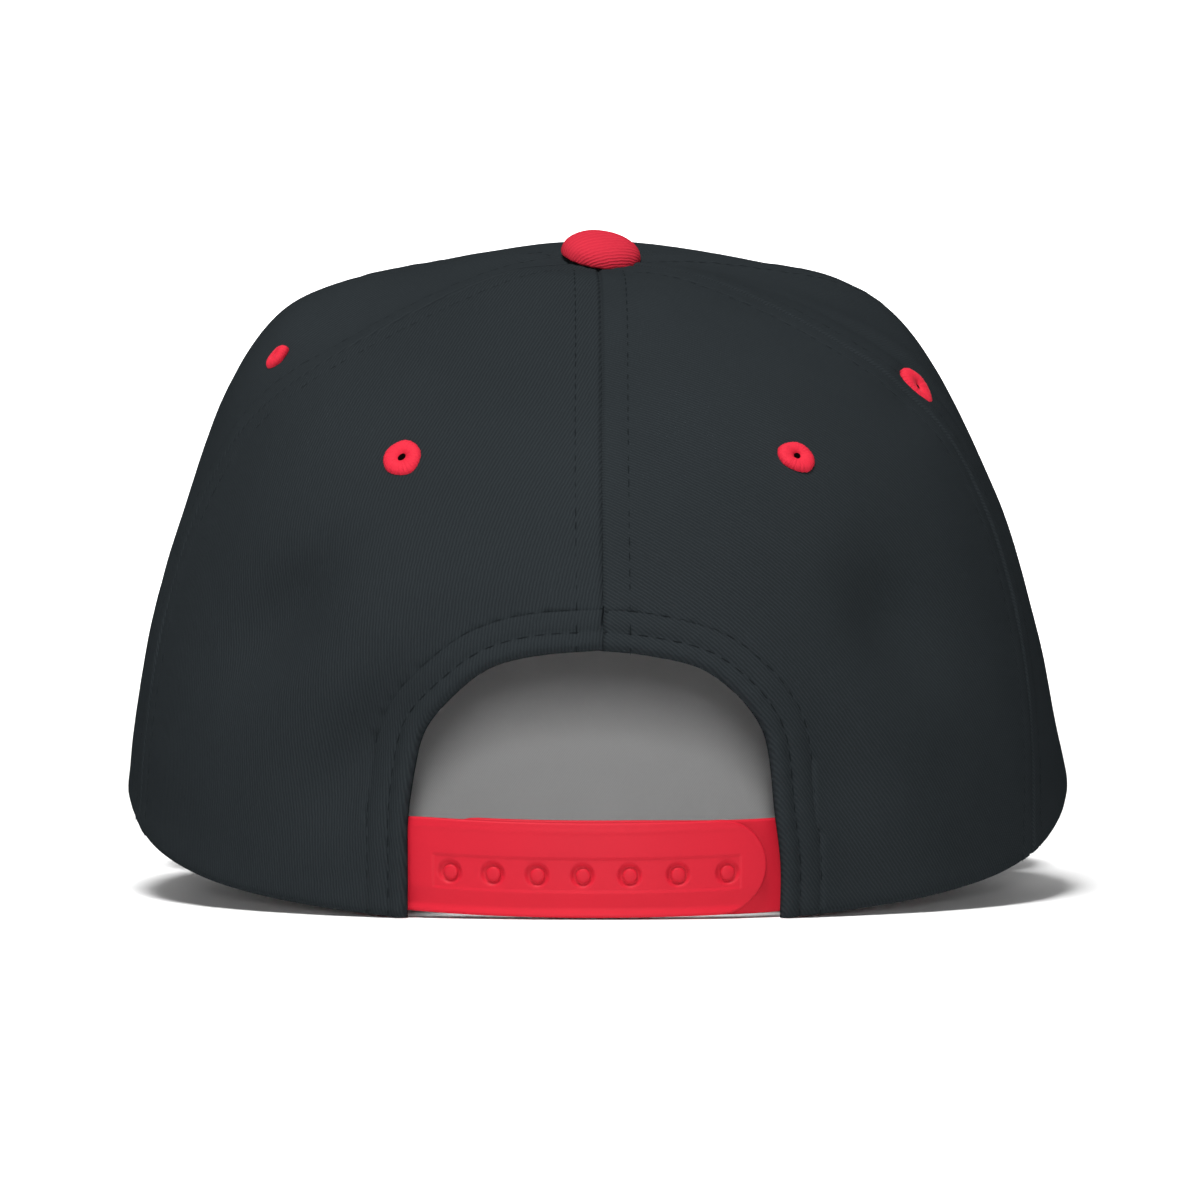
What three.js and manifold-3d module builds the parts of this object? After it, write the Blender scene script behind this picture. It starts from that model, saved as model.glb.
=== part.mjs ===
// A six-panel snapback cap seen from behind: millimetres, +Z up, visor towards +Y, closure at -Y.
import * as THREE from 'three';
import Module from 'manifold-3d';

const wasm = await Module();
wasm.setup();

// Crown sizes, in the cap's own frame: the back of the rim is level with z = 0
const crownHalfWidth = 88.2;
const crownHalfLength = 98;
const planPower = 2.12;
const crownHeight = 105.7;
const wallThickness = 2;
const seamGap = 0.3;
const seatGap = 0.3;
const earArch = 5.5;
const earArchReach = 40;
const topHoleLevel = 0.02;

// Turns from the back at which the seams run, evenly spaced from the button to the rim
const seamTurns = {
  frontStart: [-180, -180, -180, -180],
  frontLeft: [-118, -119, -121, -121],
  backLeft: [-50, -59, -71, -70],
  back: [0, 0, 0, 0],
  backRight: [54, 61.5, 67, 60],
  frontRight: [118, 119, 121, 121],
  frontEnd: [180, 180, 180, 180],
};

// Height left above the rim, from the button out to the rim, each column at one place round the crown
const crownRows = [
  { out: 0, back: 1, seamLeft: 1, seamRight: 1, sideLeft: 1, sideRight: 1, frontSeam: 1, front: 1 },
  { out: 0.2, back: 0.987, seamLeft: 0.993, seamRight: 0.99, sideLeft: 1.007, sideRight: 0.982, frontSeam: 0.995, front: 1.002 },
  { out: 0.4, back: 0.92, seamLeft: 0.942, seamRight: 0.939, sideLeft: 0.972, sideRight: 0.937, frontSeam: 0.966, front: 0.983 },
  { out: 0.56, back: 0.834, seamLeft: 0.878, seamRight: 0.875, sideLeft: 0.938, sideRight: 0.88, frontSeam: 0.93, front: 0.949 },
  { out: 0.68, back: 0.753, seamLeft: 0.81, seamRight: 0.805, sideLeft: 0.881, sideRight: 0.81, frontSeam: 0.868, front: 0.893 },
  { out: 0.78, back: 0.661, seamLeft: 0.713, seamRight: 0.709, sideLeft: 0.753, sideRight: 0.678, frontSeam: 0.739, front: 0.801 },
  { out: 0.87, back: 0.529, seamLeft: 0.561, seamRight: 0.555, sideLeft: 0.552, sideRight: 0.504, frontSeam: 0.552, front: 0.65 },
  { out: 0.94, back: 0.366, seamLeft: 0.368, seamRight: 0.36, sideLeft: 0.337, sideRight: 0.288, frontSeam: 0.33, front: 0.426 },
  { out: 0.98, back: 0.183, seamLeft: 0.176, seamRight: 0.168, sideLeft: 0.154, sideRight: 0.102, frontSeam: 0.136, front: 0.202 },
  { out: 1, back: 0, seamLeft: 0, seamRight: 0, sideLeft: 0, sideRight: 0, frontSeam: 0, front: 0 },
];
const crownColumns = [
  { turn: -180, column: 'front' },
  { turn: -120, column: 'frontSeam' },
  { turn: -90, column: 'sideLeft' },
  { turn: -62, column: 'seamLeft' },
  { turn: 0, column: 'back' },
  { turn: 62, column: 'seamRight' },
  { turn: 90, column: 'sideRight' },
  { turn: 120, column: 'frontSeam' },
  { turn: 180, column: 'front' },
];

// Soft dents pressed into the cloth: where each one is, how long and wide it is and how far it leans
const dents = [
  { turn: -38, level: 0.66, depth: 1.5, long: 26, wide: 8, lean: -40 },
  { turn: -34, level: 0.8, depth: 1.3, long: 24, wide: 8, lean: -38 },
  { turn: 40, level: 0.7, depth: 1.5, long: 24, wide: 9, lean: 55 },
  { turn: 66, level: 0.45, depth: 1, long: 22, wide: 6, lean: -15 },
];
const dentHeightPerLevel = 150;

// Opening over the strap, as shares of its height and of its half widths
const archHeight = 47.5;
const archHalfWidthLeft = 33.6;
const archHalfWidthRight = 30.6;
const archCentre = 0.2;
const archRows = [
  { up: 0.39, left: 1, right: 1 },
  { up: 0.59, left: 0.96, right: 0.98 },
  { up: 0.71, left: 0.9, right: 0.93 },
  { up: 0.83, left: 0.75, right: 0.79 },
  { up: 0.93, left: 0.56, right: 0.58 },
  { up: 0.98, left: 0.32, right: 0.28 },
  { up: 1, left: 0, right: 0 },
];

// Eyelets: one in each panel, as a turn from the back and a level on the crown
const eyeletRadius = 3.4;
const eyeletHoleRadius = 1;
const eyeletBarrelRadius = 1.7;
const eyeletSeatGap = 0.6;
const eyeletRise = 0.8;
const eyeletInnerRise = 0.5;
const eyelets = [
  { name: 'eyelet_back_left', panel: 'panel_back_left', turn: -29, level: 0.505 },
  { name: 'eyelet_back_right', panel: 'panel_back_right', turn: 30, level: 0.505 },
  { name: 'eyelet_side_left', panel: 'panel_side_left', turn: -74, level: 0.445 },
  { name: 'eyelet_side_right', panel: 'panel_side_right', turn: 71, level: 0.47 },
  { name: 'eyelet_front_left', panel: 'panel_front_left', turn: -150, level: 0.44 },
  { name: 'eyelet_front_right', panel: 'panel_front_right', turn: 150, level: 0.44 },
];

// Button on the top
const buttonRadius = 7.5;
const buttonHeight = 5.2;
const shankLength = 4.5;

// Sweatband inside the rim
const sweatbandHeight = 32;
const sweatbandThickness = 1.2;
const sweatbandHem = 0.4;
const sweatbandGap = 0.5;
const sweatbandStart = 31.5;

// Strap of two halves: seven posts of the inner half stand in the holes of the outer half
const strapHeight = 16.8;
const strapLift = 1;
const strapThickness = 1.3;
const strapTuck = 11;
const outerStrapEnd = 29.6;
const innerStrapEnd = -29.4;
const postCount = 7;
const firstPost = -25.9;
const postSpacing = 7.57;
const postSpacingGain = 0.234;
const postRadius = 1.4;
const postRise = 0.35;
const channelHeight = 6.1;
const channelDepth = 0.4;
const channelMargin = 2.6;

// Visor, cambered from side to side
const visorReach = 66;
const visorHalfWidth = 88;
const visorPower = 2.5;
const visorAngle = 19;
const visorCamberRadius = 1200;
const visorPlateThickness = 1.6;
const templeForward = 43;
const templeSoftness = 12;
const templeWidth = 80.5;
const visorStart = 3;
const visorCornerStart = 0.86;
const visorCornerWidth = 0.2;

const radians = THREE.MathUtils.degToRad;
const halfTurn = 180;
const smooth = (share) => share * share * (3 - 2 * share);

// Smooth curve through evenly spaced values, read at a share of the way along
function curveThrough(values, share) {
  const last = values.length - 1;
  const place = THREE.MathUtils.clamp(share, 0, 1) * last;
  const index = Math.min(Math.floor(place), last - 1);
  const u = place - index;
  const slope = (i) => {
    if (i === 0) return values[1] - values[0];
    if (i === last) return values[last] - values[last - 1];
    return (values[i + 1] - values[i - 1]) / 2;
  };
  const squared = u * u;
  const cubed = squared * u;
  return (2 * cubed - 3 * squared + 1) * values[index]
    + (cubed - 2 * squared + u) * slope(index)
    + (3 * squared - 2 * cubed) * values[index + 1]
    + (cubed - squared) * slope(index + 1);
}

const columnValues = Object.fromEntries(
  Object.keys(crownRows[0]).map((key) => [key, crownRows.map((row) => row[key])]),
);

function planRadius(turn) {
  const angle = radians(turn);
  const across = Math.abs(Math.sin(angle) / crownHalfWidth) ** planPower;
  const along = Math.abs(Math.cos(angle) / crownHalfLength) ** planPower;
  return (across + along) ** (-1 / planPower);
}

function columnShare(turn, level) {
  const index = Math.max(0, crownColumns.findLastIndex((entry) => entry.turn < turn));
  const from = crownColumns[index];
  const to = crownColumns[index + 1];
  const share = smooth(THREE.MathUtils.clamp((turn - from.turn) / (to.turn - from.turn), 0, 1));
  const before = curveThrough(columnValues[from.column], level);
  const after = curveThrough(columnValues[to.column], level);
  return before * (1 - share) + after * share;
}

// The visor leaves the crown along this surface, and the front of the rim follows it
function visorSurface(x, y) {
  const back = templeForward - templeSoftness;
  const front = templeForward + templeSoftness;
  let run = Math.max(0, y - templeForward);
  if (y > back && y < front) run = (y - back) ** 2 / (4 * templeSoftness);
  const camberShare = THREE.MathUtils.smoothstep(y, back, front + templeSoftness);
  const camber = camberShare * (templeWidth ** 2 - x ** 2) / (2 * visorCamberRadius);
  return camber - run * Math.tan(radians(visorAngle));
}

function rimHeight(turn) {
  const radius = planRadius(turn);
  const x = radius * Math.sin(radians(turn));
  const y = -radius * Math.cos(radians(turn));
  return earArch * Math.exp(-((y / earArchReach) ** 2)) + visorSurface(x, y);
}

function dentDepth(turn, level, radius) {
  return dents.reduce((sum, dent) => {
    const across = radians(turn - dent.turn) * radius;
    const down = (level - dent.level) * dentHeightPerLevel;
    const lean = radians(dent.lean);
    const along = across * Math.cos(lean) + down * Math.sin(lean);
    const beside = down * Math.cos(lean) - across * Math.sin(lean);
    return sum + dent.depth * Math.exp(-((along / dent.long) ** 2) - (beside / dent.wide) ** 2);
  }, 0);
}

// Outer face of the crown: level 0 is the button and level 1 the rim
function crownPoint(turn, level) {
  const share = curveThrough(columnValues.out, level);
  const full = planRadius(turn);
  const radius = full * share - dentDepth(turn, level, full);
  const rim = rimHeight(turn);
  const height = rim + (crownHeight - rim) * columnShare(turn, level);
  const angle = radians(turn);
  return new THREE.Vector3(radius * Math.sin(angle), -radius * Math.cos(angle), height);
}

function crownNormal(turn, level) {
  const turnStep = 0.5;
  const levelStep = 0.01;
  const middle = THREE.MathUtils.clamp(level, levelStep * 2, 1 - levelStep);
  const side = THREE.MathUtils.clamp(turn, -halfTurn + turnStep, halfTurn - turnStep);
  const around = crownPoint(side + turnStep, middle).sub(crownPoint(side - turnStep, middle));
  const down = crownPoint(side, middle + levelStep).sub(crownPoint(side, middle - levelStep));
  return down.cross(around).normalize();
}

const crownInside = (turn, level, depth) => crownPoint(turn, level).addScaledVector(crownNormal(turn, level), -depth);

// Level at which the outer face stands a given height above the rim
function levelAbove(turn, height) {
  const target = rimHeight(turn) + height;
  let low = 0.3;
  let high = 1;
  for (let step = 0; step < 40; step += 1) {
    const middle = (low + high) / 2;
    if (crownPoint(turn, middle).z > target) low = middle;
    else high = middle;
  }
  return (low + high) / 2;
}

// Closed solid between two grids of points with the same rows and columns, the first one outside
function slab(outer, inner) {
  const rows = outer.length;
  const columns = outer[0].length;
  const positions = [];
  [outer, inner].forEach((grid) => grid.forEach((row) => row.forEach((p) => positions.push(p.x, p.y, p.z))));
  const at = (side, row, column) => side * rows * columns + row * columns + column;
  const index = [];
  const quad = (a, b, c, d) => index.push(a, b, c, a, c, d);
  for (let row = 0; row < rows - 1; row += 1) {
    for (let column = 0; column < columns - 1; column += 1) {
      quad(at(0, row, column), at(0, row + 1, column), at(0, row + 1, column + 1), at(0, row, column + 1));
      quad(at(1, row, column), at(1, row, column + 1), at(1, row + 1, column + 1), at(1, row + 1, column));
    }
  }
  for (let column = 0; column < columns - 1; column += 1) {
    quad(at(0, 0, column), at(0, 0, column + 1), at(1, 0, column + 1), at(1, 0, column));
    quad(at(0, rows - 1, column + 1), at(0, rows - 1, column), at(1, rows - 1, column), at(1, rows - 1, column + 1));
  }
  for (let row = 0; row < rows - 1; row += 1) {
    quad(at(0, row + 1, 0), at(0, row, 0), at(1, row, 0), at(1, row + 1, 0));
    quad(at(0, row, columns - 1), at(0, row + 1, columns - 1), at(1, row + 1, columns - 1), at(1, row, columns - 1));
  }
  const geometry = new THREE.BufferGeometry();
  geometry.setAttribute('position', new THREE.Float32BufferAttribute(positions, 3));
  geometry.setIndex(index);
  return geometry;
}

// Welds the corners of a geometry for the solid library
function toManifold(geometry) {
  const source = geometry.index ? geometry.toNonIndexed() : geometry;
  const position = source.getAttribute('position');
  const grain = 1e4;
  const seen = new Map();
  const vertices = [];
  const corners = [];
  for (let i = 0; i < position.count; i += 1) {
    const point = [position.getX(i), position.getY(i), position.getZ(i)];
    const key = point.map((value) => Math.round(value * grain)).join(',');
    if (!seen.has(key)) {
      seen.set(key, vertices.length / 3);
      vertices.push(...point);
    }
    corners.push(seen.get(key));
  }
  const triangles = [];
  for (let i = 0; i < corners.length; i += 3) {
    const [a, b, c] = corners.slice(i, i + 3);
    if (a !== b && b !== c && c !== a) triangles.push(a, b, c);
  }
  const mesh = new wasm.Mesh({
    numProp: 3,
    vertProperties: new Float32Array(vertices),
    triVerts: new Uint32Array(triangles),
  });
  return new wasm.Manifold(mesh);
}

function toGeometry(solid) {
  const mesh = solid.getMesh();
  const geometry = new THREE.BufferGeometry();
  geometry.setAttribute('position', new THREE.BufferAttribute(new Float32Array(mesh.vertProperties), 3));
  geometry.setIndex(new THREE.BufferAttribute(new Uint32Array(mesh.triVerts), 1));
  return geometry;
}

// Round pin along an axis through a point, reaching the same distance both ways
function pin(point, axis, radius, reach, sides) {
  const geometry = new THREE.CylinderGeometry(radius, radius, reach * 2, sides);
  const turn = new THREE.Quaternion().setFromUnitVectors(new THREE.Vector3(0, 1, 0), axis);
  geometry.applyQuaternion(turn);
  geometry.translate(point.x, point.y, point.z);
  return geometry;
}

const spread = (from, to, steps) => Array.from({ length: steps + 1 }, (_, i) => from + ((to - from) * i) / steps);

const materials = {
  crown: new THREE.MeshStandardMaterial({ color: 0x2f3437, roughness: 0.9 }),
  red: new THREE.MeshStandardMaterial({ color: 0xde2d3f, roughness: 0.8 }),
  plastic: new THREE.MeshStandardMaterial({ color: 0xde2d3f, roughness: 0.4 }),
  grey: new THREE.MeshStandardMaterial({ color: 0x858585, roughness: 0.9 }),
};
const cap = new THREE.Group();
cap.name = 'cap';

function add(name, geometry, material) {
  const mesh = new THREE.Mesh(geometry, material);
  mesh.name = name;
  cap.add(mesh);
  return mesh;
}

// Crown panels
const panelColumns = 9;
const panelLevels = [...spread(topHoleLevel, 0.3, 3), ...spread(0.3, 1, 13).slice(1)];
const panels = [
  { name: 'panel_front_left', from: 'frontStart', to: 'frontLeft' },
  { name: 'panel_side_left', from: 'frontLeft', to: 'backLeft' },
  { name: 'panel_back_left', from: 'backLeft', to: 'back' },
  { name: 'panel_back_right', from: 'back', to: 'backRight' },
  { name: 'panel_side_right', from: 'backRight', to: 'frontRight' },
  { name: 'panel_front_right', from: 'frontRight', to: 'frontEnd' },
];
function panelTurns(panel, level) {
  return spread(curveThrough(seamTurns[panel.from], level), curveThrough(seamTurns[panel.to], level), panelColumns);
}

// Moves the first and last columns of a panel off the seam by half of its gap
function seamShift(column, turn, level) {
  const radius = planRadius(turn) * curveThrough(columnValues.out, level);
  const half = THREE.MathUtils.radToDeg(seamGap / 2 / radius);
  if (column === 0) return half;
  if (column === panelColumns) return -half;
  return 0;
}

function panelGrid(panel, depth) {
  return panelLevels.map((level) => panelTurns(panel, level).map((turn, column) => {
    const point = crownInside(turn, level, depth);
    return point.applyAxisAngle(new THREE.Vector3(0, 0, 1), radians(seamShift(column, turn, level)));
  }));
}

const archShape = new THREE.Shape();
const archBelow = -6;
archShape.moveTo(archCentre - archHalfWidthLeft, archBelow);
archShape.lineTo(archCentre + archHalfWidthRight, archBelow);
const archSide = (side, width) => archRows.map((row) => new THREE.Vector2(archCentre + width * row[side], archHeight * row.up));
const archRight = new THREE.SplineCurve(archSide('right', archHalfWidthRight)).getPoints(16);
const archLeft = new THREE.SplineCurve(archSide('left', -archHalfWidthLeft)).getPoints(16).reverse().slice(1);
[...archRight, ...archLeft].forEach((point) => archShape.lineTo(point.x, point.y));
const archDepth = crownHalfLength / 2;
const archGeometry = new THREE.ExtrudeGeometry(archShape, { depth: archDepth, bevelEnabled: false });
archGeometry.rotateX(Math.PI / 2);
archGeometry.translate(0, -archDepth, 0);
const archCutter = toManifold(archGeometry);

panels.forEach((panel) => {
  let solid = toManifold(slab(panelGrid(panel, 0), panelGrid(panel, wallThickness)));
  eyelets.filter((eyelet) => eyelet.panel === panel.name).forEach((eyelet) => {
    const point = crownPoint(eyelet.turn, eyelet.level);
    const axis = crownNormal(eyelet.turn, eyelet.level);
    const hole = pin(point, axis, eyeletBarrelRadius + seatGap, wallThickness * 3, 14);
    solid = solid.subtract(toManifold(hole));
  });
  if (panel.name.startsWith('panel_back')) solid = solid.subtract(archCutter);
  add(panel.name, toGeometry(solid), materials.crown);
});

// Eyelets: a raised ring outside, a barrel through the wall and a lower ring inside
function eyeletGeometry() {
  const under = -wallThickness - eyeletSeatGap;
  const profile = [
    [eyeletHoleRadius, eyeletSeatGap + eyeletRise * 0.7],
    [eyeletHoleRadius, under - eyeletInnerRise],
    [eyeletRadius * 0.8, under - eyeletInnerRise],
    [eyeletRadius * 0.9, under],
    [eyeletBarrelRadius, under],
    [eyeletBarrelRadius, eyeletSeatGap],
    [eyeletRadius, eyeletSeatGap],
    [eyeletRadius * 0.85, eyeletSeatGap + eyeletRise * 0.8],
    [eyeletRadius * 0.55, eyeletSeatGap + eyeletRise],
  ].map(([x, y]) => new THREE.Vector2(x, y));
  profile.push(profile[0].clone());
  return new THREE.LatheGeometry(profile, 14);
}

eyelets.forEach((eyelet) => {
  const geometry = eyeletGeometry();
  const axis = crownNormal(eyelet.turn, eyelet.level);
  const point = crownPoint(eyelet.turn, eyelet.level);
  geometry.applyQuaternion(new THREE.Quaternion().setFromUnitVectors(new THREE.Vector3(0, 1, 0), axis));
  geometry.translate(point.x, point.y, point.z);
  add(eyelet.name, geometry, materials.red);
});

// Button: a flattened dome on a shank that goes down through the middle of the panels
const topHoleRadius = Math.min(crownHalfWidth, crownHalfLength) * curveThrough(columnValues.out, topHoleLevel);
const shankRadius = topHoleRadius - seatGap * 2;
const buttonProfile = [[0, -shankLength], [shankRadius, -shankLength], [shankRadius, seatGap], [buttonRadius * 0.9, seatGap]];
const domeSteps = 7;
for (let step = 0; step <= domeSteps; step += 1) {
  const angle = (Math.PI / 2) * (step / domeSteps);
  const rimShare = 0.22;
  const rise = seatGap + buttonHeight * (rimShare + (1 - rimShare) * Math.sin(angle));
  buttonProfile.push([buttonRadius * Math.cos(angle) ** 0.8, rise]);
}
buttonProfile[buttonProfile.length - 1][0] = 0;
const buttonGeometry = new THREE.LatheGeometry(buttonProfile.map(([x, y]) => new THREE.Vector2(x, y)), 24);
buttonGeometry.rotateX(Math.PI / 2);
buttonGeometry.translate(0, 0, crownHeight);
add('top_button', buttonGeometry, materials.red);

// Sweatband: it runs inside the rim from one end of the opening round the front to the other
const rimTurns = panels.flatMap((panel) => panelTurns(panel, 1).slice(1));
const bandTurns = [
  -sweatbandStart,
  ...rimTurns.filter((turn) => turn < -sweatbandStart - 1).reverse(),
  ...rimTurns.filter((turn) => turn > sweatbandStart + 1).reverse(),
  sweatbandStart,
];
const bandHeights = [sweatbandHeight, sweatbandHeight / 2, 0];
const bandDepth = wallThickness + sweatbandGap;
function bandGrid(depth) {
  return bandHeights.map((height) => bandTurns.map((turn) => {
    const point = crownInside(turn, levelAbove(turn, height), depth);
    if (height === 0) point.z -= sweatbandHem;
    return point;
  })).map((row) => row.reverse());
}
add('sweatband', slab(bandGrid(bandDepth), bandGrid(bandDepth + sweatbandThickness)), materials.grey);

// Strap halves follow the inside of the crown's wall across the opening
const turnAt = (x) => {
  let low = -60;
  let high = 60;
  for (let step = 0; step < 40; step += 1) {
    const middle = (low + high) / 2;
    if (crownPoint(middle, 1).x < x) low = middle;
    else high = middle;
  }
  return (low + high) / 2;
};
const strapHeights = [strapHeight + strapLift, strapLift + strapHeight / 2, strapLift];
function strapPoint(x, height, depth) {
  const turn = turnAt(x);
  return crownInside(turn, levelAbove(turn, height), depth);
}
function bandBetween(from, to, steps, heights, depthAt, thickness) {
  const grid = (extra) => heights.map((height) => spread(from, to, steps).map((x) => strapPoint(x, height, depthAt(x) + extra)));
  return slab(grid(0), grid(thickness));
}
const leftTuck = archCentre - archHalfWidthLeft - strapTuck;
const rightTuck = archCentre + archHalfWidthRight + strapTuck;
const outerDepth = wallThickness + seatGap;
const innerDepth = outerDepth + strapThickness + seatGap;
const posts = Array.from({ length: postCount }, (_, i) => firstPost + postSpacing * i + (postSpacingGain * i * (i - 1)) / 2);
const strapMiddle = strapLift + strapHeight / 2;
const postAxis = (x) => crownNormal(turnAt(x), levelAbove(turnAt(x), strapMiddle));

// Outer half, with a round end, a long shallow channel and the holes
const strapSteps = 26;
let outerStrap = toManifold(bandBetween(leftTuck, outerStrapEnd, strapSteps, strapHeights, () => outerDepth, strapThickness));
const endRadius = strapHeight * 0.5;
const endShape = new THREE.Shape();
const endMargin = 4;
endShape.moveTo(outerStrapEnd - endRadius, strapLift - endMargin);
endShape.lineTo(outerStrapEnd + endMargin, strapLift - endMargin);
endShape.lineTo(outerStrapEnd + endMargin, strapLift + strapHeight + endMargin);
endShape.lineTo(outerStrapEnd - endRadius, strapLift + strapHeight + endMargin);
spread(90, -90, 14).forEach((degrees) => {
  const x = outerStrapEnd - endRadius + endRadius * Math.cos(radians(degrees));
  const z = strapMiddle + (strapHeight / 2 + seatGap) * Math.sin(radians(degrees));
  endShape.lineTo(x, z);
});
const endGeometry = new THREE.ExtrudeGeometry(endShape, { depth: archDepth, bevelEnabled: false });
endGeometry.rotateX(Math.PI / 2);
endGeometry.translate(0, -archDepth, 0);
outerStrap = outerStrap.subtract(toManifold(endGeometry));
const channelFrom = posts[0] - channelMargin;
const channelTo = posts[postCount - 1] + channelMargin;
const channelHeights = [strapMiddle + channelHeight / 2, strapMiddle - channelHeight / 2];
const channelClear = 2;
const channel = bandBetween(channelFrom, channelTo, 20, channelHeights, () => outerDepth - channelClear, channelClear + channelDepth);
outerStrap = outerStrap.subtract(toManifold(channel));
posts.forEach((x) => {
  const hole = pin(strapPoint(x, strapMiddle, outerDepth), postAxis(x), postRadius + seatGap, strapThickness * 3, 12);
  outerStrap = outerStrap.subtract(toManifold(hole));
});
add('strap_outer', toGeometry(outerStrap), materials.plastic);

// Inner half, drawn out to the wall where it is tucked in at the right
const innerRampStart = outerStrapEnd + 1;
const innerDepthAt = (x) => {
  const share = smooth(THREE.MathUtils.clamp((x - innerRampStart) / (rightTuck - innerRampStart), 0, 1));
  return innerDepth + (outerDepth - innerDepth) * share;
};
let innerStrap = toManifold(bandBetween(innerStrapEnd, rightTuck, strapSteps, strapHeights, innerDepthAt, strapThickness));
posts.forEach((x) => {
  const from = innerDepth + strapThickness / 2;
  const to = outerDepth - postRise;
  const middle = strapPoint(x, strapMiddle, (from + to) / 2);
  innerStrap = innerStrap.add(toManifold(pin(middle, postAxis(x), postRadius, (from - to) / 2, 12)));
});
add('strap_inner', toGeometry(innerStrap), materials.plastic);

// Visor plates: rows run from the crown out to the visor's edge
const visorTurnSpan = (() => {
  let low = 90;
  let high = halfTurn;
  for (let step = 0; step < 40; step += 1) {
    const middle = (low + high) / 2;
    if (-planRadius(middle) * Math.cos(radians(middle)) < templeForward + visorStart) low = middle;
    else high = middle;
  }
  return halfTurn - (low + high) / 2;
})();
const visorColumns = 32;
const visorRows = 6;
const visorSides = spread(90, -90, visorColumns).map((degrees) => Math.sin(radians(degrees)));

// Rounds the back corners of the visor off towards the crown
function cornerShare(side) {
  const into = Math.max(0, (Math.abs(side) - visorCornerStart) / (1 - visorCornerStart));
  return visorCornerWidth + (1 - visorCornerWidth) * Math.sqrt(Math.max(0, 1 - into ** 2));
}

function visorPlan(side, out) {
  const past = halfTurn - visorTurnSpan * side;
  const turn = THREE.MathUtils.euclideanModulo(past + halfTurn, halfTurn * 2) - halfTurn;
  const inner = crownPoint(turn, 1);
  const clear = crownNormal(turn, 1).setZ(0).normalize();
  inner.addScaledVector(clear, seatGap);
  const angle = (Math.PI / 2) * side;
  const edgeX = visorHalfWidth * Math.sign(side) * Math.abs(Math.sin(angle)) ** (2 / visorPower);
  const edgeLength = crownHalfLength + visorReach - templeForward - visorStart;
  const edgeY = templeForward + visorStart + edgeLength * Math.cos(angle) ** (2 / visorPower);
  const share = out * cornerShare(side);
  return new THREE.Vector2(inner.x + (edgeX - inner.x) * share, inner.y + (edgeY - inner.y) * share);
}
function visorGrid(lift) {
  return spread(0, 1, visorRows).map((out) => visorSides.map((side) => {
    const plan = visorPlan(side, out);
    return new THREE.Vector3(plan.x, plan.y, visorSurface(plan.x, plan.y) + lift);
  }));
}
const halfGap = seatGap / 2;
add('visor_cover', slab(visorGrid(halfGap + visorPlateThickness), visorGrid(halfGap)), materials.red);
add('visor_underside', slab(visorGrid(-halfGap), visorGrid(-halfGap - visorPlateThickness)), materials.grey);

// Rests on the corners of the back rim and on the visor's low edge, with both at z = 0
const contact = { back: [], visor: [] };
cap.children.forEach((mesh) => {
  const position = mesh.geometry.getAttribute('position');
  for (let i = 0; i < position.count; i += 1) {
    const list = position.getY(i) > crownHalfLength ? contact.visor : contact.back;
    list.push([position.getY(i), position.getZ(i)]);
  }
});
const lowest = (points, tilt) => Math.min(...points.map(([y, z]) => y * Math.sin(tilt) + z * Math.cos(tilt)));
let tiltLow = 0;
let tiltHigh = radians(30);
for (let step = 0; step < 40; step += 1) {
  const middle = (tiltLow + tiltHigh) / 2;
  if (lowest(contact.visor, middle) < lowest(contact.back, middle)) tiltLow = middle;
  else tiltHigh = middle;
}
cap.rotation.x = (tiltLow + tiltHigh) / 2;

const group = new THREE.Group();
group.name = 'snapback_cap';
group.add(cap);
group.updateMatrixWorld(true);
const box = new THREE.Box3().setFromObject(group, true);
const centre = box.getCenter(new THREE.Vector3());
cap.position.set(-centre.x, -centre.y, -box.min.z);
group.updateMatrixWorld(true);

export default group;
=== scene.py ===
import math

import bmesh
import bpy
import numpy as np
from mathutils import Matrix, Vector


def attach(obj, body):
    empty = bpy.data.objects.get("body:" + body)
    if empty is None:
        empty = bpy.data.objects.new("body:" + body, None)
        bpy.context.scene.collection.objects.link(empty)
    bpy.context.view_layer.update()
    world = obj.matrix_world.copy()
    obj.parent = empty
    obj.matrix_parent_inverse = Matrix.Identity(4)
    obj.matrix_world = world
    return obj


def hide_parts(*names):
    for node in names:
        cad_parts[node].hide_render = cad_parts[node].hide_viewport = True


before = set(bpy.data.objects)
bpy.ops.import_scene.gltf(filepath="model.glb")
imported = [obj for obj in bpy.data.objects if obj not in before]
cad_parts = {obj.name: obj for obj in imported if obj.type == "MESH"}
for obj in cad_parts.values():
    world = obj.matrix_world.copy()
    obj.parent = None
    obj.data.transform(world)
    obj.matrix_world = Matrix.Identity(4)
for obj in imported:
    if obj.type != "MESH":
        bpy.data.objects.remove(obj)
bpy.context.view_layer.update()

METRES = 0.001

# Crown, in millimetres in the cap's own frame. A turn is in degrees from the back, negative at the left,
# and a level is 0 at the button and 1 at the rim.
CROWN_HALF_WIDTH = 88.2
CROWN_HALF_LENGTH = 98.0
PLAN_POWER = 2.12
CROWN_HEIGHT = 105.7
EAR_ARCH = 5.5
EAR_ARCH_REACH = 40.0
REST_TILT = math.radians(9.017)
REST_SHIFT = np.array([0.0046, -36.3916, 14.5072])
TOP_LEVEL = 0.02

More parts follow.
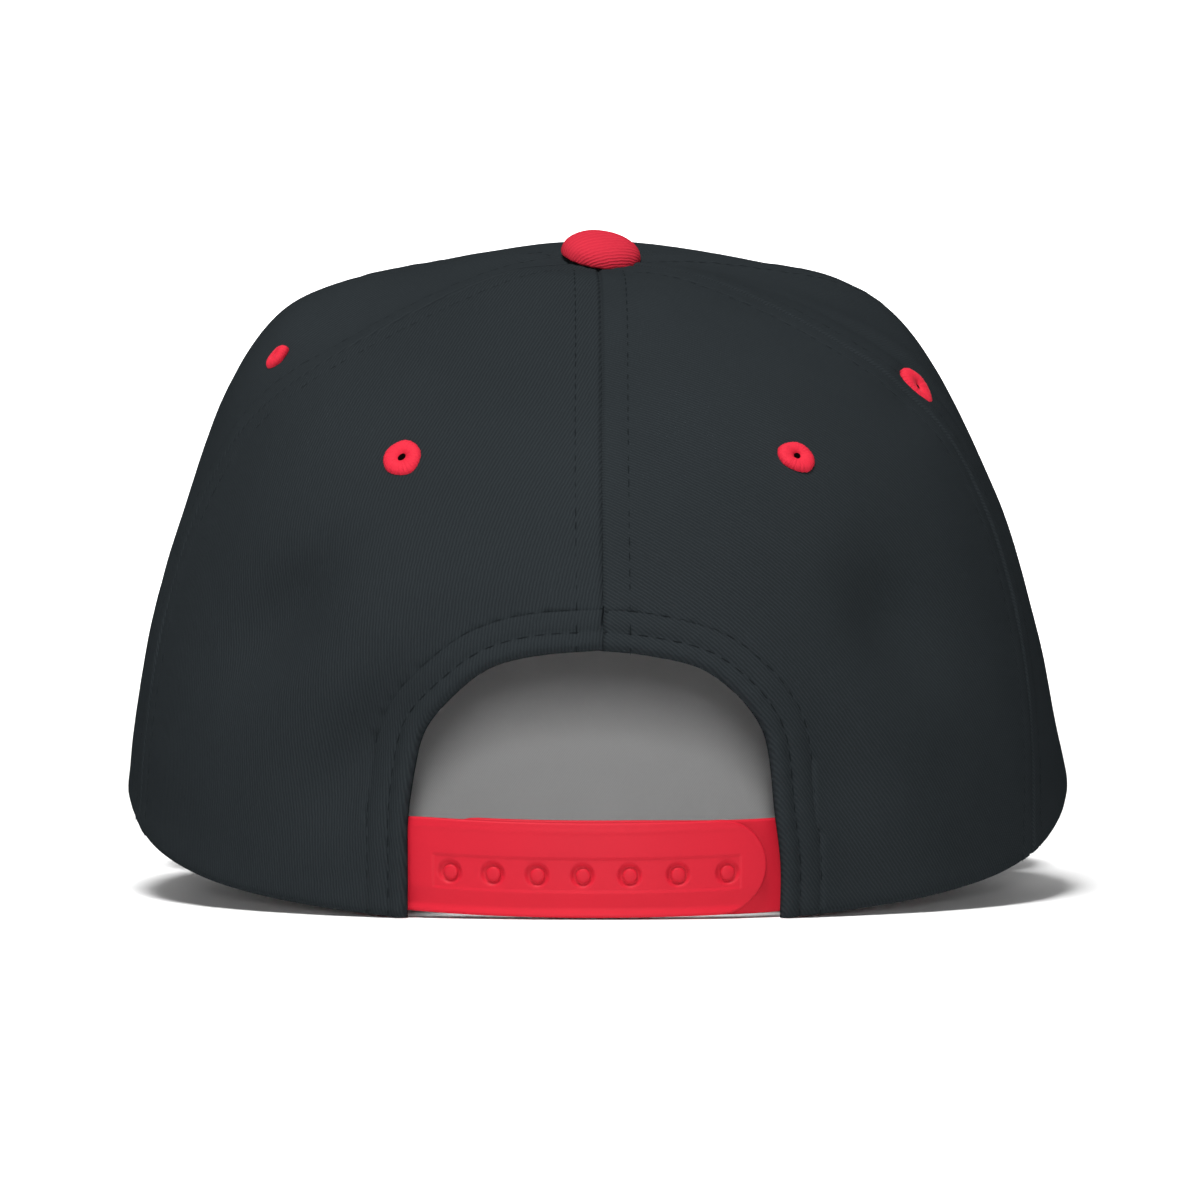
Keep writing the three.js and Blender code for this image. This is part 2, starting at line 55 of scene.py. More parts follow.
# Sections of the crown at ten levels: how far out it is, then how high at each place round it
CROWN_ROWS = {
    "out": [0, 0.2, 0.4, 0.56, 0.68, 0.78, 0.87, 0.94, 0.98, 1],
    "back": [1, 0.987, 0.92, 0.834, 0.753, 0.661, 0.529, 0.366, 0.183, 0],
    "seam_left": [1, 0.993, 0.942, 0.878, 0.81, 0.713, 0.561, 0.368, 0.176, 0],
    "seam_right": [1, 0.99, 0.939, 0.875, 0.805, 0.709, 0.555, 0.36, 0.168, 0],
    "side_left": [1, 1.007, 0.972, 0.938, 0.881, 0.753, 0.552, 0.337, 0.154, 0],
    "side_right": [1, 0.982, 0.937, 0.88, 0.81, 0.678, 0.504, 0.288, 0.102, 0],
    "front_seam": [1, 0.995, 0.966, 0.93, 0.868, 0.739, 0.552, 0.33, 0.136, 0],
    "front": [1, 1.002, 0.983, 0.949, 0.893, 0.801, 0.65, 0.426, 0.202, 0],
}
CROWN_COLUMNS = [
    (-180, "front"),
    (-120, "front_seam"),
    (-90, "side_left"),
    (-62, "seam_left"),
    (0, "back"),
    (62, "seam_right"),
    (90, "side_right"),
    (120, "front_seam"),
    (180, "front"),
]
# Turn of each seam at four levels from the button to the rim
SEAM_TURNS = {
    "front_start": [-180, -180, -180, -180],
    "front_left": [-118, -119, -121, -121],
    "back_left": [-50, -59, -71, -70],
    "back": [2.2, 0.9, 0.75, 0.8],
    "back_right": [54, 61.5, 67, 60],
    "front_right": [118, 119, 121, 121],
    "front_end": [180, 180, 180, 180],
}
# Seams of each panel, and the angle of its twill
PANELS = {
    "panel_front_left": {"start": "front_start", "end": "front_left", "grain": 50},
    "panel_side_left": {"start": "front_left", "end": "back_left", "grain": 60},
    "panel_back_left": {"start": "back_left", "end": "back", "grain": 80},
    "panel_back_right": {"start": "back", "end": "back_right", "grain": 52},
    "panel_side_right": {"start": "back_right", "end": "front_right", "grain": 50},
    "panel_front_right": {"start": "front_right", "end": "front_end", "grain": 50},
}
# Dents: middle, depth, reach along and across, and slant of the long way
DENTS = [
    {"turn": -42, "level": 0.725, "depth": 5.0, "long": 18, "wide": 8.5, "lean": -31},
    {"turn": -27, "level": 0.84, "depth": 4.6, "long": 15, "wide": 8, "lean": -45},
    {"turn": -8, "level": 0.7, "depth": 0.8, "long": 9, "wide": 5, "lean": 0},
    {"turn": 38, "level": 0.72, "depth": 4.0, "long": 13, "wide": 9.5, "lean": 20},
    {"turn": 27, "level": 0.86, "depth": 2.4, "long": 16, "wide": 9, "lean": 70},
    {"turn": 66, "level": 0.46, "depth": 0.7, "long": 22, "wide": 6, "lean": -15},
    {"turn": 79, "level": 0.37, "depth": 2.2, "long": 22, "wide": 6, "lean": 84},
    {"turn": 87, "level": 0.95, "depth": -0.6, "long": 26, "wide": 12, "lean": 0},
]
TOP_DIPS = [
    {"x": 0.0, "y": 0.0, "depth": 0.65, "wide": 52.0, "long": 60.0},
    {"x": 0.5, "y": -9.0, "depth": 1.0, "wide": 11.0, "long": 7.0},
]
DENT_HEIGHT_PER_LEVEL = 150.0
WALL = 2.0
CLOTH_THICKNESS = 1.9
CLOTH_LENGTH = 165.0

# Unevenness of the crown's cloth: strength and size of its broad waves and of its small ones
BROAD_WAVES = 0.32
BROAD_WAVE_SIZE = 46
SMALL_WAVES = 0.06
SMALL_WAVE_SIZE = 12
FIRST_PANEL_SEED = 3
SMALL_WAVE_SEED_STEP = 20

# Opening over the strap
ARCH_HEIGHT = 47.5
ARCH_HALF_WIDTH_LEFT = 34.0
ARCH_HALF_WIDTH_RIGHT = 31.3
ARCH_CENTRE = 0.2
ARCH_STEPS = 120
ARCH_POINTS = 260
ARCH_STEP_LENGTH = 0.62
ARCH_UP = [0.0, 0.2, 0.39, 0.59, 0.71, 0.83, 0.93, 0.98, 1.0]
ARCH_LEFT = [1.0, 1.0, 1.0, 0.96, 0.9, 0.75, 0.56, 0.32, 0.0]
ARCH_RIGHT = [1.04, 1.045, 1.012, 0.98, 0.925, 0.785, 0.575, 0.28, 0.0]
HEM_WIDTH = 7.3
HEM_OVER_CLOTH = 1.1

# Strap and its snaps
STRAP_HEIGHT = 16.8
STRAP_LIFT = 1.0
STRAP_THICKNESS = 1.3
LEFT_TUCK = -43.2
RIGHT_TUCK = 40.7
OUTER_STRAP_END = 30.05
INNER_STRAP_END = -29.4
POST_COUNT = 7
FIRST_POST = -25.9
POST_SPACING = 7.57
POST_SPACING_GAIN = 0.234
SNAP_DROP = 0.95

# Sweatband and visor
BAND_DEPTH = 2.5
BAND_THICKNESS = 1.2
BAND_START = 31.5
BAND_FRONT_HANG = 6.5
VISOR_REACH = 66.0
VISOR_HALF_WIDTH = 88.0
VISOR_POWER = 2.5
VISOR_ANGLE = math.radians(19)
VISOR_CAMBER_RADIUS = 1200.0
VISOR_PLATE = 1.6
VISOR_START = 3.0
VISOR_CORNER_START = 0.86
VISOR_CORNER_WIDTH = 0.2
TEMPLE_FORWARD = 43.0
TEMPLE_SOFTNESS = 12.0
TEMPLE_WIDTH = 80.5
SEAT_GAP = 0.3

# Eyelets: place, tilts in degrees, shape of the ring, and radius of the dark disc of painted shade in the
# hole
EYELET = {"nod": 0, "tip": 0, "long": 1.0, "lean": 90, "size": 1.0, "hole": 0.9}
EYELETS = {
    "eyelet_back_left": {**EYELET, "turn": -29, "level": 0.505, "long": 1.12, "lean": 125, "hole": 0.95},
    "eyelet_back_right": {**EYELET, "turn": 30, "level": 0.503, "long": 0.88, "lean": 60, "hole": 0.7},
    "eyelet_side_left": {**EYELET, "turn": -74.5, "level": 0.45, "tip": -18, "size": 0.75, "hole": 0.5},
    "eyelet_side_right": {
        **EYELET, "turn": 70, "level": 0.466, "nod": 12, "tip": -3, "long": 1.22, "hole": 0.45,
    },
    "eyelet_front_left": {**EYELET, "turn": -150, "level": 0.44},
    "eyelet_front_right": {**EYELET, "turn": 150, "level": 0.44},
}


# Shape of the crown
def curve_through(values, share):
    """Smooth curve through evenly spaced values, read at shares of the way along."""
    values = np.asarray(values, float)
    slopes = np.gradient(values)
    last = len(values) - 1
    place = np.clip(share, 0, 1) * last
    index = np.minimum(np.floor(place).astype(int), last - 1)
    u = place - index
    start = (2 * u**3 - 3 * u**2 + 1) * values[index] + (u**3 - 2 * u**2 + u) * slopes[index]
    end = (3 * u**2 - 2 * u**3) * values[index + 1] + (u**3 - u**2) * slopes[index + 1]
    return start + end


def smooth(share):
    """Eases in and out between 0 and 1."""
    share = np.clip(share, 0, 1)
    return share * share * (3 - 2 * share)


def plan_radius(turn):
    """Distance from the middle to the rim in plan, without the dents."""
    angle = np.radians(turn)
    across = np.abs(np.sin(angle) / CROWN_HALF_WIDTH) ** PLAN_POWER
    along = np.abs(np.cos(angle) / CROWN_HALF_LENGTH) ** PLAN_POWER
    return (across + along) ** (-1 / PLAN_POWER)


def height_share(turn, level):
    """Share of its height that the outer face has."""
    turn = np.clip(turn, -180, 180)
    shares = [curve_through(CROWN_ROWS[name], level) for _, name in CROWN_COLUMNS]
    result = np.zeros(np.broadcast(turn, level).shape)
    for index in range(len(CROWN_COLUMNS) - 1):
        low = CROWN_COLUMNS[index][0]
        high = CROWN_COLUMNS[index + 1][0]
        inside = (turn >= low) & (turn <= high)
        blend = smooth((turn - low) / (high - low))
        result = np.where(inside, shares[index] * (1 - blend) + shares[index + 1] * blend, result)
    return result


def visor_surface(x, y):
    """Height of the visor's middle surface, which the rim follows in front."""
    back = TEMPLE_FORWARD - TEMPLE_SOFTNESS
    front = TEMPLE_FORWARD + TEMPLE_SOFTNESS
    run = np.maximum(0, y - TEMPLE_FORWARD)
    run = np.where((y > back) & (y < front), (y - back) ** 2 / (4 * TEMPLE_SOFTNESS), run)
    camber_share = smooth((y - back) / (front + TEMPLE_SOFTNESS - back))
    camber = camber_share * (TEMPLE_WIDTH**2 - x**2) / (2 * VISOR_CAMBER_RADIUS)
    return camber - run * math.tan(VISOR_ANGLE)


def rim_height(turn):
    """Height of the rim, which rises over the ears."""
    radius = plan_radius(turn)
    x = radius * np.sin(np.radians(turn))
    y = -radius * np.cos(np.radians(turn))
    return EAR_ARCH * np.exp(-((y / EAR_ARCH_REACH) ** 2)) + visor_surface(x, y)


def dent_depth(turn, level, radius):
    """How far the dents draw the cloth in."""
    total = 0.0
    for dent in DENTS:
        across = np.radians(turn - dent["turn"]) * radius
        down = (level - dent["level"]) * DENT_HEIGHT_PER_LEVEL
        lean = math.radians(dent["lean"])
        along = across * math.cos(lean) + down * math.sin(lean)
        beside = down * math.cos(lean) - across * math.sin(lean)
        hollow = np.exp(-((along / dent["long"]) ** 2) - (beside / dent["wide"]) ** 2)
        total = total + dent["depth"] * hollow
    return total


def crown_point(turn, level):
    """Outer face of the crown in millimetres: level 0 is the button and level 1 the rim."""
    turn, level = np.broadcast_arrays(np.asarray(turn, float), np.asarray(level, float))
    full = plan_radius(turn)
    radius = full * curve_through(CROWN_ROWS["out"], level) - dent_depth(turn, level, full)
    rim = rim_height(turn)
    height = rim + (CROWN_HEIGHT - rim) * height_share(turn, level)
    angle = np.radians(turn)
    x = radius * np.sin(angle)
    y = -radius * np.cos(angle)
    for dip in TOP_DIPS:
        away = ((x - dip["x"]) / dip["wide"]) ** 2 + ((y - dip["y"]) / dip["long"]) ** 2
        height = height - dip["depth"] * np.exp(-away)
    return np.stack([x, y, height], -1)


def unit(vectors):
    """Vectors of length 1 in the same directions."""
    return vectors / np.linalg.norm(vectors, axis=-1, keepdims=True)


def crown_normal(turn, level):
    """Direction straight out of the cloth."""
    turn_step = 0.5
    level_step = 0.01
    middle = np.clip(level, level_step * 2, 1 - level_step)
    side = np.clip(turn, -180 + turn_step, 180 - turn_step)
    around = crown_point(side + turn_step, middle) - crown_point(side - turn_step, middle)
    down = crown_point(side, middle + level_step) - crown_point(side, middle - level_step)
    return unit(np.cross(down, around))


def crown_offset(turn, level, rise):
    """Points above the outer face, or below it where the rise is negative."""
    return crown_point(turn, level) + crown_normal(turn, level) * np.asarray(rise, float)[..., None]


def level_at(turn, height):
    """Level at which the outer face is at a height in the cap's frame."""
    turn, height = np.broadcast_arrays(np.asarray(turn, float), np.asarray(height, float))
    low = np.full(turn.shape, 0.3)
    high = np.ones(turn.shape)
    for _ in range(30):
        middle = (low + high) / 2
        above = crown_point(turn, middle)[..., 2] > height
        low = np.where(above, middle, low)
        high = np.where(above, high, middle)
    return (low + high) / 2


def level_above(turn, height):
    """Level at which the outer face is at a height above the rim."""
    return level_at(turn, rim_height(turn) + height)


def place_at(x, height):
    """Turn and level of the point of the crown's back at a distance to the side and a height."""
    x, height = np.broadcast_arrays(np.asarray(x, float), np.asarray(height, float))
    turn = np.degrees(np.arcsin(x / CROWN_HALF_LENGTH))
    for _ in range(8):
        level = level_at(turn, height)
        point = crown_point(turn, level)
        radius = np.hypot(point[..., 0], point[..., 1])
        turn = np.degrees(np.arcsin(np.clip(x / radius, -0.98, 0.98)))
    return turn, level_at(turn, height)


LENGTH_LEVELS = np.linspace(0, 1, 161)
LENGTH_TURN_STEP = 5
LENGTH_TURNS = np.linspace(-180, 180, 360 // LENGTH_TURN_STEP + 1)


def meridian_lengths():
    """Lengths along the cloth from the button, at even turns and levels."""
    points = crown_point(LENGTH_TURNS[:, None], LENGTH_LEVELS[None, :])
    steps = np.linalg.norm(np.diff(points, axis=1), axis=-1)
    return np.concatenate([np.zeros((len(LENGTH_TURNS), 1)), np.cumsum(steps, axis=1)], axis=1)


MERIDIANS = meridian_lengths()


def length_from_top(turn, level):
    """Distance along the cloth from the button, in millimetres."""
    turn, level = np.broadcast_arrays(np.asarray(turn, float), np.asarray(level, float))
    place = (turn + 180) / LENGTH_TURN_STEP
    index = np.clip(np.floor(place).astype(int), 0, len(LENGTH_TURNS) - 2)
    share = place - index
    across = np.clip(level, 0, 1) * (len(LENGTH_LEVELS) - 1)
    row = np.clip(np.floor(across).astype(int), 0, len(LENGTH_LEVELS) - 2)
    part = across - row
    before = MERIDIANS[index, row] * (1 - part) + MERIDIANS[index, row + 1] * part
    after = MERIDIANS[index + 1, row] * (1 - part) + MERIDIANS[index + 1, row + 1] * part
    return before * (1 - share) + after * share


def radius_at(turn, level):
    """Distance from the middle in plan, without the dents."""
    return plan_radius(turn) * curve_through(CROWN_ROWS["out"], level)


def turned_to_rest(vectors):
    """Directions of the cap's frame, in the resting frame."""
    cosine = math.cos(REST_TILT)
    sine = math.sin(REST_TILT)
    y = vectors[..., 1] * cosine - vectors[..., 2] * sine
    z = vectors[..., 1] * sine + vectors[..., 2] * cosine
    return np.stack([vectors[..., 0], y, z], -1)


def to_rest(points):
    """From the cap's frame in millimetres to the resting frame in metres."""
    return (turned_to_rest(np.asarray(points, float)) + REST_SHIFT) * METRES


# Making meshes
def add_object(name, data):
    """Object at the origin that shows some data."""
    made = bpy.data.objects.new(name, data)
    bpy.context.scene.collection.objects.link(made)
    return made


def add_piece(name, points, faces, edges=()):
    """Object with a mesh of points in metres."""
    mesh = bpy.data.meshes.new(name)
    mesh.from_pydata(points, edges, faces)
    return add_object(name, mesh)


def add_mesh(name, points, faces, patterns):
    """Piece of points in the cap's frame, with pattern coordinates in millimetres for each point.

    Corners that no face uses are left out.
    """
    piece = add_piece(name, [tuple(point) for point in to_rest(points)], faces)
    mesh = piece.data
    mesh.validate()
    layer = mesh.uv_layers.new(name="cloth")
    corners = np.zeros(len(mesh.loops), int)
    mesh.loops.foreach_get("vertex_index", corners)
    layer.data.foreach_set("uv", np.asarray(patterns, float)[corners].ravel())
    work = bmesh.new()
    work.from_mesh(mesh)
    loose = [corner for corner in work.verts if not corner.link_faces]
    bmesh.ops.delete(work, geom=loose, context="VERTS")
    work.to_mesh(mesh)
    work.free()
    mesh.shade_smooth()
    return piece


def ring_faces(rings, spokes, start=0, turned=False):
    """Four-cornered faces between rings of points, turned over where their order asks for it."""
    index = start + np.arange(rings * spokes).reshape(rings, spokes)
    following = np.roll(index, -1, axis=1)
    corners = [index[:-1], following[:-1], following[1:], index[1:]]
    if turned:
        corners = [corners[0], *corners[:0:-1]]
    return np.stack(corners, -1).reshape(-1, 4).tolist()


def shell_faces(rows, columns, keep=None, start=0):
    """Faces of a closed shell between an outer and an inner grid, round the cells that are kept."""
    if keep is None:
        keep = np.ones((rows - 1, columns - 1), bool)
    inner = start + rows * columns
    row, column = np.nonzero(keep)
    a = start + row * columns + column
    b = a + columns
    faces = np.stack([a, b, b + 1, a + 1], 1).tolist()
    shift = inner - start
    faces += np.stack([a + shift, a + 1 + shift, b + 1 + shift, b + shift], 1).tolist()
    padded = np.pad(keep, 1)
    inside = padded[1:-1, 1:-1]
    sides = [
        (padded[:-2, 1:-1], lambda r, c: (r * columns + c, r * columns + c + 1)),
        (padded[2:, 1:-1], lambda r, c: ((r + 1) * columns + c + 1, (r + 1) * columns + c)),
        (padded[1:-1, :-2], lambda r, c: ((r + 1) * columns + c, r * columns + c)),
        (padded[1:-1, 2:], lambda r, c: (r * columns + c + 1, (r + 1) * columns + c + 1)),
    ]
    for neighbour, edge in sides:
        r, c = np.nonzero(inside & ~neighbour)
        first, second = edge(r, c)
        first = first + start
        second = second + start
        faces += np.stack([first, second, second + shift, first + shift], 1).tolist()
    return faces


def shell(name, outer, inner, patterns, keep=None):
    """Closed shell between an outer and an inner grid of points."""
    rows, columns = outer.shape[:2]
    points = np.concatenate([outer.reshape(-1, 3), inner.reshape(-1, 3)])
    uv = np.concatenate([patterns.reshape(-1, 2), patterns.reshape(-1, 2)])
    return add_mesh(name, points, shell_faces(rows, columns, keep), uv)


def joined(name, pieces):
    """One object out of one or more, with the first one's data."""
    whole, *others = pieces
    if others:
        bpy.ops.object.select_all(action="DESELECT")
        for piece in pieces:
            piece.select_set(True)
        bpy.context.view_layer.objects.active = whole
        bpy.ops.object.join()
    whole.name = name
    whole.data.name = name
    return whole


def finish_piece(piece, replaced, material):
    """Gives a piece its material and body, and hides the CAD part that it stands for, if any."""
    piece.data.materials.clear()
    piece.data.materials.append(material)
    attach(piece, "root")
    if replaced:
        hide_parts(replaced)


# Unevenness, ridges and soft edges
def soft_noise(points, seed, size):
    """Unevenness between about -1 and 1, the same in every run."""
    chance = np.random.default_rng(seed)
    total = np.zeros(points.shape[:-1])
    for octave in range(3):
        waves = 7
        directions = unit(chance.normal(size=(waves, 3))) * (2 * math.pi / size) * 1.8**octave
        phases = chance.uniform(0, 2 * math.pi, waves)
        total += np.sin(points @ directions.T + phases).sum(-1) / waves / 1.9**octave
    return total


def ridge(distance, height, middle, width):
    """Soft ridge, or groove where the height is negative, round a middle distance."""
    return height * np.exp(-(((distance - middle) / width) ** 2))


def rounded(to_edge, depth, width):
    """How far a face draws back near its edge, as a quarter of a round."""
    return depth * (1 - np.sqrt(np.maximum(0, 1 - (1 - np.clip(to_edge / width, 0, 1)) ** 2)))


def broad_waves(panel, turn, level):
    """Broad unevenness of a panel's cloth, in millimetres."""
    seed = FIRST_PANEL_SEED + list(PANELS).index(panel)
    return BROAD_WAVES * soft_noise(crown_point(turn, level), seed, BROAD_WAVE_SIZE)


def arch_outline():
    """Edge of the opening from its left foot over the top to its right foot, to the side and up."""
    shares = np.linspace(0, 1, ARCH_STEPS)
    up = curve_through(ARCH_UP, shares) * ARCH_HEIGHT
    left = ARCH_CENTRE - ARCH_HALF_WIDTH_LEFT * curve_through(ARCH_LEFT, shares)
    right = ARCH_CENTRE + ARCH_HALF_WIDTH_RIGHT * curve_through(ARCH_RIGHT, shares)
    x = np.concatenate([left, right[::-1][1:]])
    z = np.concatenate([up, up[::-1][1:]])
    z = np.minimum(z, ARCH_HEIGHT)
    length = np.concatenate([[0], np.cumsum(np.hypot(np.diff(x), np.diff(z)))])
    even = np.linspace(0, length[-1], ARCH_POINTS)
    return np.stack([np.interp(even, length, x), np.interp(even, length, z)], -1)


ARCH = arch_outline()


def outward_from(path):
    """Directions in the outline's plane, away from the opening."""
    tangent = unit(np.gradient(path, axis=0))
    return np.stack([-tangent[:, 1], tangent[:, 0]], -1)


def beyond_arch(x, z):
    """Distance outside the edge of the opening, negative inside it."""
    x, z = np.broadcast_arrays(x, z)
    points = np.stack([x, z], -1).reshape(-1, 1, 2)
    a = ARCH[None, :-1]
    b = ARCH[None, 1:]
    along = np.clip(((points - a) * (b - a)).sum(-1) / ((b - a) ** 2).sum(-1), 0, 1)
    nearest = a + (b - a) * along[..., None]
    distance = np.linalg.norm(points - nearest, axis=-1).min(-1).reshape(x.shape)
    half = ARCH_POINTS // 2
    left = np.interp(z, ARCH[:half, 1], ARCH[:half, 0])
    right = np.interp(z, ARCH[::-1][:half, 1], ARCH[::-1][:half, 0])
    inside = (x > left) & (x < right) & (z < ARCH_HEIGHT)
    return np.where(inside, -distance, distance)


# Cloth panels
PANEL_ROWS = 132
PANEL_COLUMNS = 84
TOPSTITCH = 4.7
SEAM_LAP = 0.03
RIM_STEPS = np.array([1.6, 1.1, 0.75, 0.45, 0.2, 0])
RIM_STEPS_START = 2.4
SEAM_ROLL = {"height": -0.5, "middle": 0, "width": 0.4}
SEAM_LIFT = 0.16
SEAM_LIFT_BEFORE = 0.8
SEAM_LIFT_FADE = 2.2
STITCH_GROOVE = {"height": -0.14, "middle": TOPSTITCH, "width": 0.45}
RIM_ROLL = {"height": -0.45, "middle": 0, "width": 0.5}
RIM_BEAD = {"height": 0.12, "middle": 2.2, "width": 1.6}
PUCKER_STEP = 5.6
PUCKER_RISE = 0.05
PUCKER_WIDTH = 2.4


def seam_relief(distance):
    """Cloth that rolls into a seam, over the turned-in edge that lifts it as far as the topstitching."""
    lift = SEAM_LIFT * (1 - smooth((distance - TOPSTITCH + SEAM_LIFT_BEFORE) / SEAM_LIFT_FADE))
    return ridge(distance, **SEAM_ROLL) + lift + ridge(distance, **STITCH_GROOVE)


def rim_relief(distance):
    """Cloth that rolls in at the rim, under a faint bead."""
    return ridge(distance, **RIM_ROLL) + ridge(distance, **RIM_BEAD)


def cloth_relief(turn, level, panel):
    """Everything that lifts a panel's cloth off the crown's plain shape, in millimetres."""
    start = PANELS[panel]["start"]
    end = PANELS[panel]["end"]
    radius = radius_at(turn, level)
    from_start = np.radians(turn - curve_through(SEAM_TURNS[start], level)) * radius
    from_end = np.radians(curve_through(SEAM_TURNS[end], level) - turn) * radius
    down = length_from_top(turn, level)
    to_rim = length_from_top(turn, np.ones_like(level)) - down
    relief = seam_relief(np.abs(from_start)) + seam_relief(np.abs(from_end)) + rim_relief(to_rim)
    near = np.minimum(np.abs(from_start), np.abs(from_end))
    ripple = np.sin(down * 2 * math.pi / PUCKER_STEP + np.sin(down / 9) * 1.5)
    relief = relief + PUCKER_RISE * (ridge(near, 1, TOPSTITCH, PUCKER_WIDTH) * ripple)
    seed = FIRST_PANEL_SEED + list(PANELS).index(panel) + SMALL_WAVE_SEED_STEP
    small = SMALL_WAVES * soft_noise(crown_point(turn, level), seed, SMALL_WAVE_SIZE)
    return relief + broad_waves(panel, turn, level) + small


def cloth_pattern(turn, level, panel):
    """Place on the panel as it was cut from flat cloth, with the first number along the twill's ribs."""
    start = curve_through(SEAM_TURNS[PANELS[panel]["start"]], level)
    end = curve_through(SEAM_TURNS[PANELS[panel]["end"]], level)
    spread = np.radians(turn - (start + end) / 2)
    radius = radius_at(turn, level)
    down = length_from_top(turn, level)
    step = 0.02
    above = np.clip(level - step, 0, 1)
    below = np.clip(level + step, 0, 1)
    run = length_from_top(turn, below) - length_from_top(turn, above)
    slope = np.clip((radius_at(turn, below) - radius_at(turn, above)) / run, 0.02, 1)
    across = radius * np.sin(slope * spread) / slope
    along = down - radius / slope * (1 - np.cos(slope * spread))
    grain = math.radians(PANELS[panel]["grain"])
    ribs = across * math.cos(grain) + along * math.sin(grain)
    beside = along * math.cos(grain) - across * math.sin(grain)
    return np.stack([ribs, beside], -1)


def edge_dense(count, power):
    """Shares from 0 to 1 that lie closer together towards both ends."""
    share = np.linspace(-1, 1, count)
    return 0.5 + 0.5 * np.sign(share) * (1 - (1 - np.abs(share)) ** power)


def panel_mesh(panel):
    """Closed shell of a panel, without the cloth that the opening's hem takes over."""
    start = PANELS[panel]["start"]
    end = PANELS[panel]["end"]
    plain = np.linspace(TOP_LEVEL, 1 - RIM_STEPS_START / CLOTH_LENGTH, PANEL_ROWS)
    level = np.concatenate([plain, 1 - RIM_STEPS / CLOTH_LENGTH])[:, None]
    low = curve_through(SEAM_TURNS[start], level)
    high = curve_through(SEAM_TURNS[end], level)
    turn = low + (high - low) * edge_dense(PANEL_COLUMNS, 1.5)[None, :]
    level = np.broadcast_to(level, turn.shape)
    lap = np.degrees(SEAM_LAP / np.maximum(radius_at(turn, level), 1))
    turn = turn - np.where(turn == turn[:, :1], lap, 0) + np.where(turn == turn[:, -1:], lap, 0)
    relief = cloth_relief(turn, level, panel)
    outer = crown_offset(turn, level, relief)
    inner = crown_offset(turn, level, np.full(turn.shape, -CLOTH_THICKNESS))
    keep = None
    if panel.startswith("panel_back"):
        x = outer[..., 0]
        z = outer[..., 2]
        middle_x = (x[:-1, :-1] + x[1:, 1:]) / 2
        middle_z = (z[:-1, :-1] + z[1:, 1:]) / 2
        keep = beyond_arch(middle_x, middle_z) > HEM_WIDTH - HEM_OVER_CLOTH
    return shell(panel + "_cloth", outer, inner, cloth_pattern(turn, level, panel), keep)


ARCH_TOP_LEVEL = float(level_at(0.0, ARCH_HEIGHT))
BACK_SEAM_X = float(crown_point(curve_through(SEAM_TURNS["back"], ARCH_TOP_LEVEL), ARCH_TOP_LEVEL)[0])


# Folded hem round the opening, as a closed band whose section goes out, over the fold and back inside
HEM_SECTION = [
    (7.35, -0.7),
    (7.3, -0.15),
    (7.1, -0.02),
    (6.75, -0.1),
    (6.4, 0.08),
    (5.8, 0.24),
    (5.0, 0.34),
    (4.1, 0.3),
    (3.5, 0.16),
    (3.0, -0.06),
    (2.6, 0.14),
    (2.1, 0.34),
    (1.5, 0.44),
    (0.9, 0.36),
    (0.4, 0.08),
    (0.1, -0.4),
    (0.0, -1.0),
    (0.15, -1.7),
    (0.6, -2.1),
    (1.4, -2.25),
    (3.0, -2.25),
    (5.0, -2.25),
    (6.8, -2.25),
    (7.3, -1.6),
]
HEM_OUTER_FACE = -0.6
HEM_PUCKER = {"height": 1, "middle": 2.2, "width": 1.6}
HEM_PUCKER_STEP = 5.2
HEM_PUCKER_RISE = 0.045


def hem_mesh(panel):
    """Hem of a back panel's half of the opening, from its foot to the centre seam."""
    left = panel.endswith("left")
    top = int(np.argmin(np.abs(ARCH[:, 0] - BACK_SEAM_X)))
    path = ARCH[: top + 1] if left else ARCH[top:]
    reach = np.array([reach for reach, _ in HEM_SECTION])
    rise = np.array([rise for _, rise in HEM_SECTION])
    places = path[:, None, :] + outward_from(path)[:, None, :] * reach[None, :, None]
    places[..., 1] = np.maximum(places[..., 1], 0)
    if left:
        places[-1, :, 0] = BACK_SEAM_X + SEAM_LAP
    else:
        places[0, :, 0] = BACK_SEAM_X - SEAM_LAP
    turn, level = place_at(places[..., 0], places[..., 1])
    level = np.where(places[..., 1] <= 0.01, 1.0, level)
    from_seam = np.abs(places[..., 0] - BACK_SEAM_X)
    to_rim = length_from_top(turn, np.ones_like(level)) - length_from_top(turn, level)
    along = np.arange(len(path))[:, None] * ARCH_STEP_LENGTH
    ripple = HEM_PUCKER_RISE * np.sin(along * 2 * math.pi / HEM_PUCKER_STEP)
    pucker = ripple * ridge(reach, **HEM_PUCKER)[None, :]
    relief = seam_relief(from_seam) + rim_relief(to_rim) + pucker
    extra = np.where(rise[None, :] > HEM_OUTER_FACE, relief, 0) + broad_waves(panel, turn, level)
    points = crown_offset(turn, level, rise[None, :] + extra).reshape(-1, 3)
    sides = len(HEM_SECTION)
    faces = ring_faces(len(path), sides)
    faces.append(list(range(sides))[::-1])
    faces.append(list(range(len(points) - sides, len(points))))
    patterns = cloth_pattern(turn, level, panel).reshape(-1, 2)
    return add_mesh(panel + "_hem", points, faces, patterns)


# Shader groups
def node(tree, kind, **values):
    """New node of a kind, with its properties set."""
    made = tree.nodes.new(kind)
    for key, value in values.items():
        setattr(made, key, value)
    return made


def link(tree, source, target):
    tree.links.new(source, target)


def feed(tree, socket, value):
    """Links a socket to another node's output, or sets it to a plain value."""
    if isinstance(value, bpy.types.NodeSocket):
        link(tree, value, socket)
    else:
        socket.default_value = value


def maths(tree, operation, *values):
    """Result of a sum on numbers or on other nodes' outputs."""
    made = node(tree, "ShaderNodeMath", operation=operation)
    for socket, value in zip(made.inputs, values):
        feed(tree, socket, value)
    return made.outputs[0]


def product(tree, first, second):
    return maths(tree, "MULTIPLY", first, second)


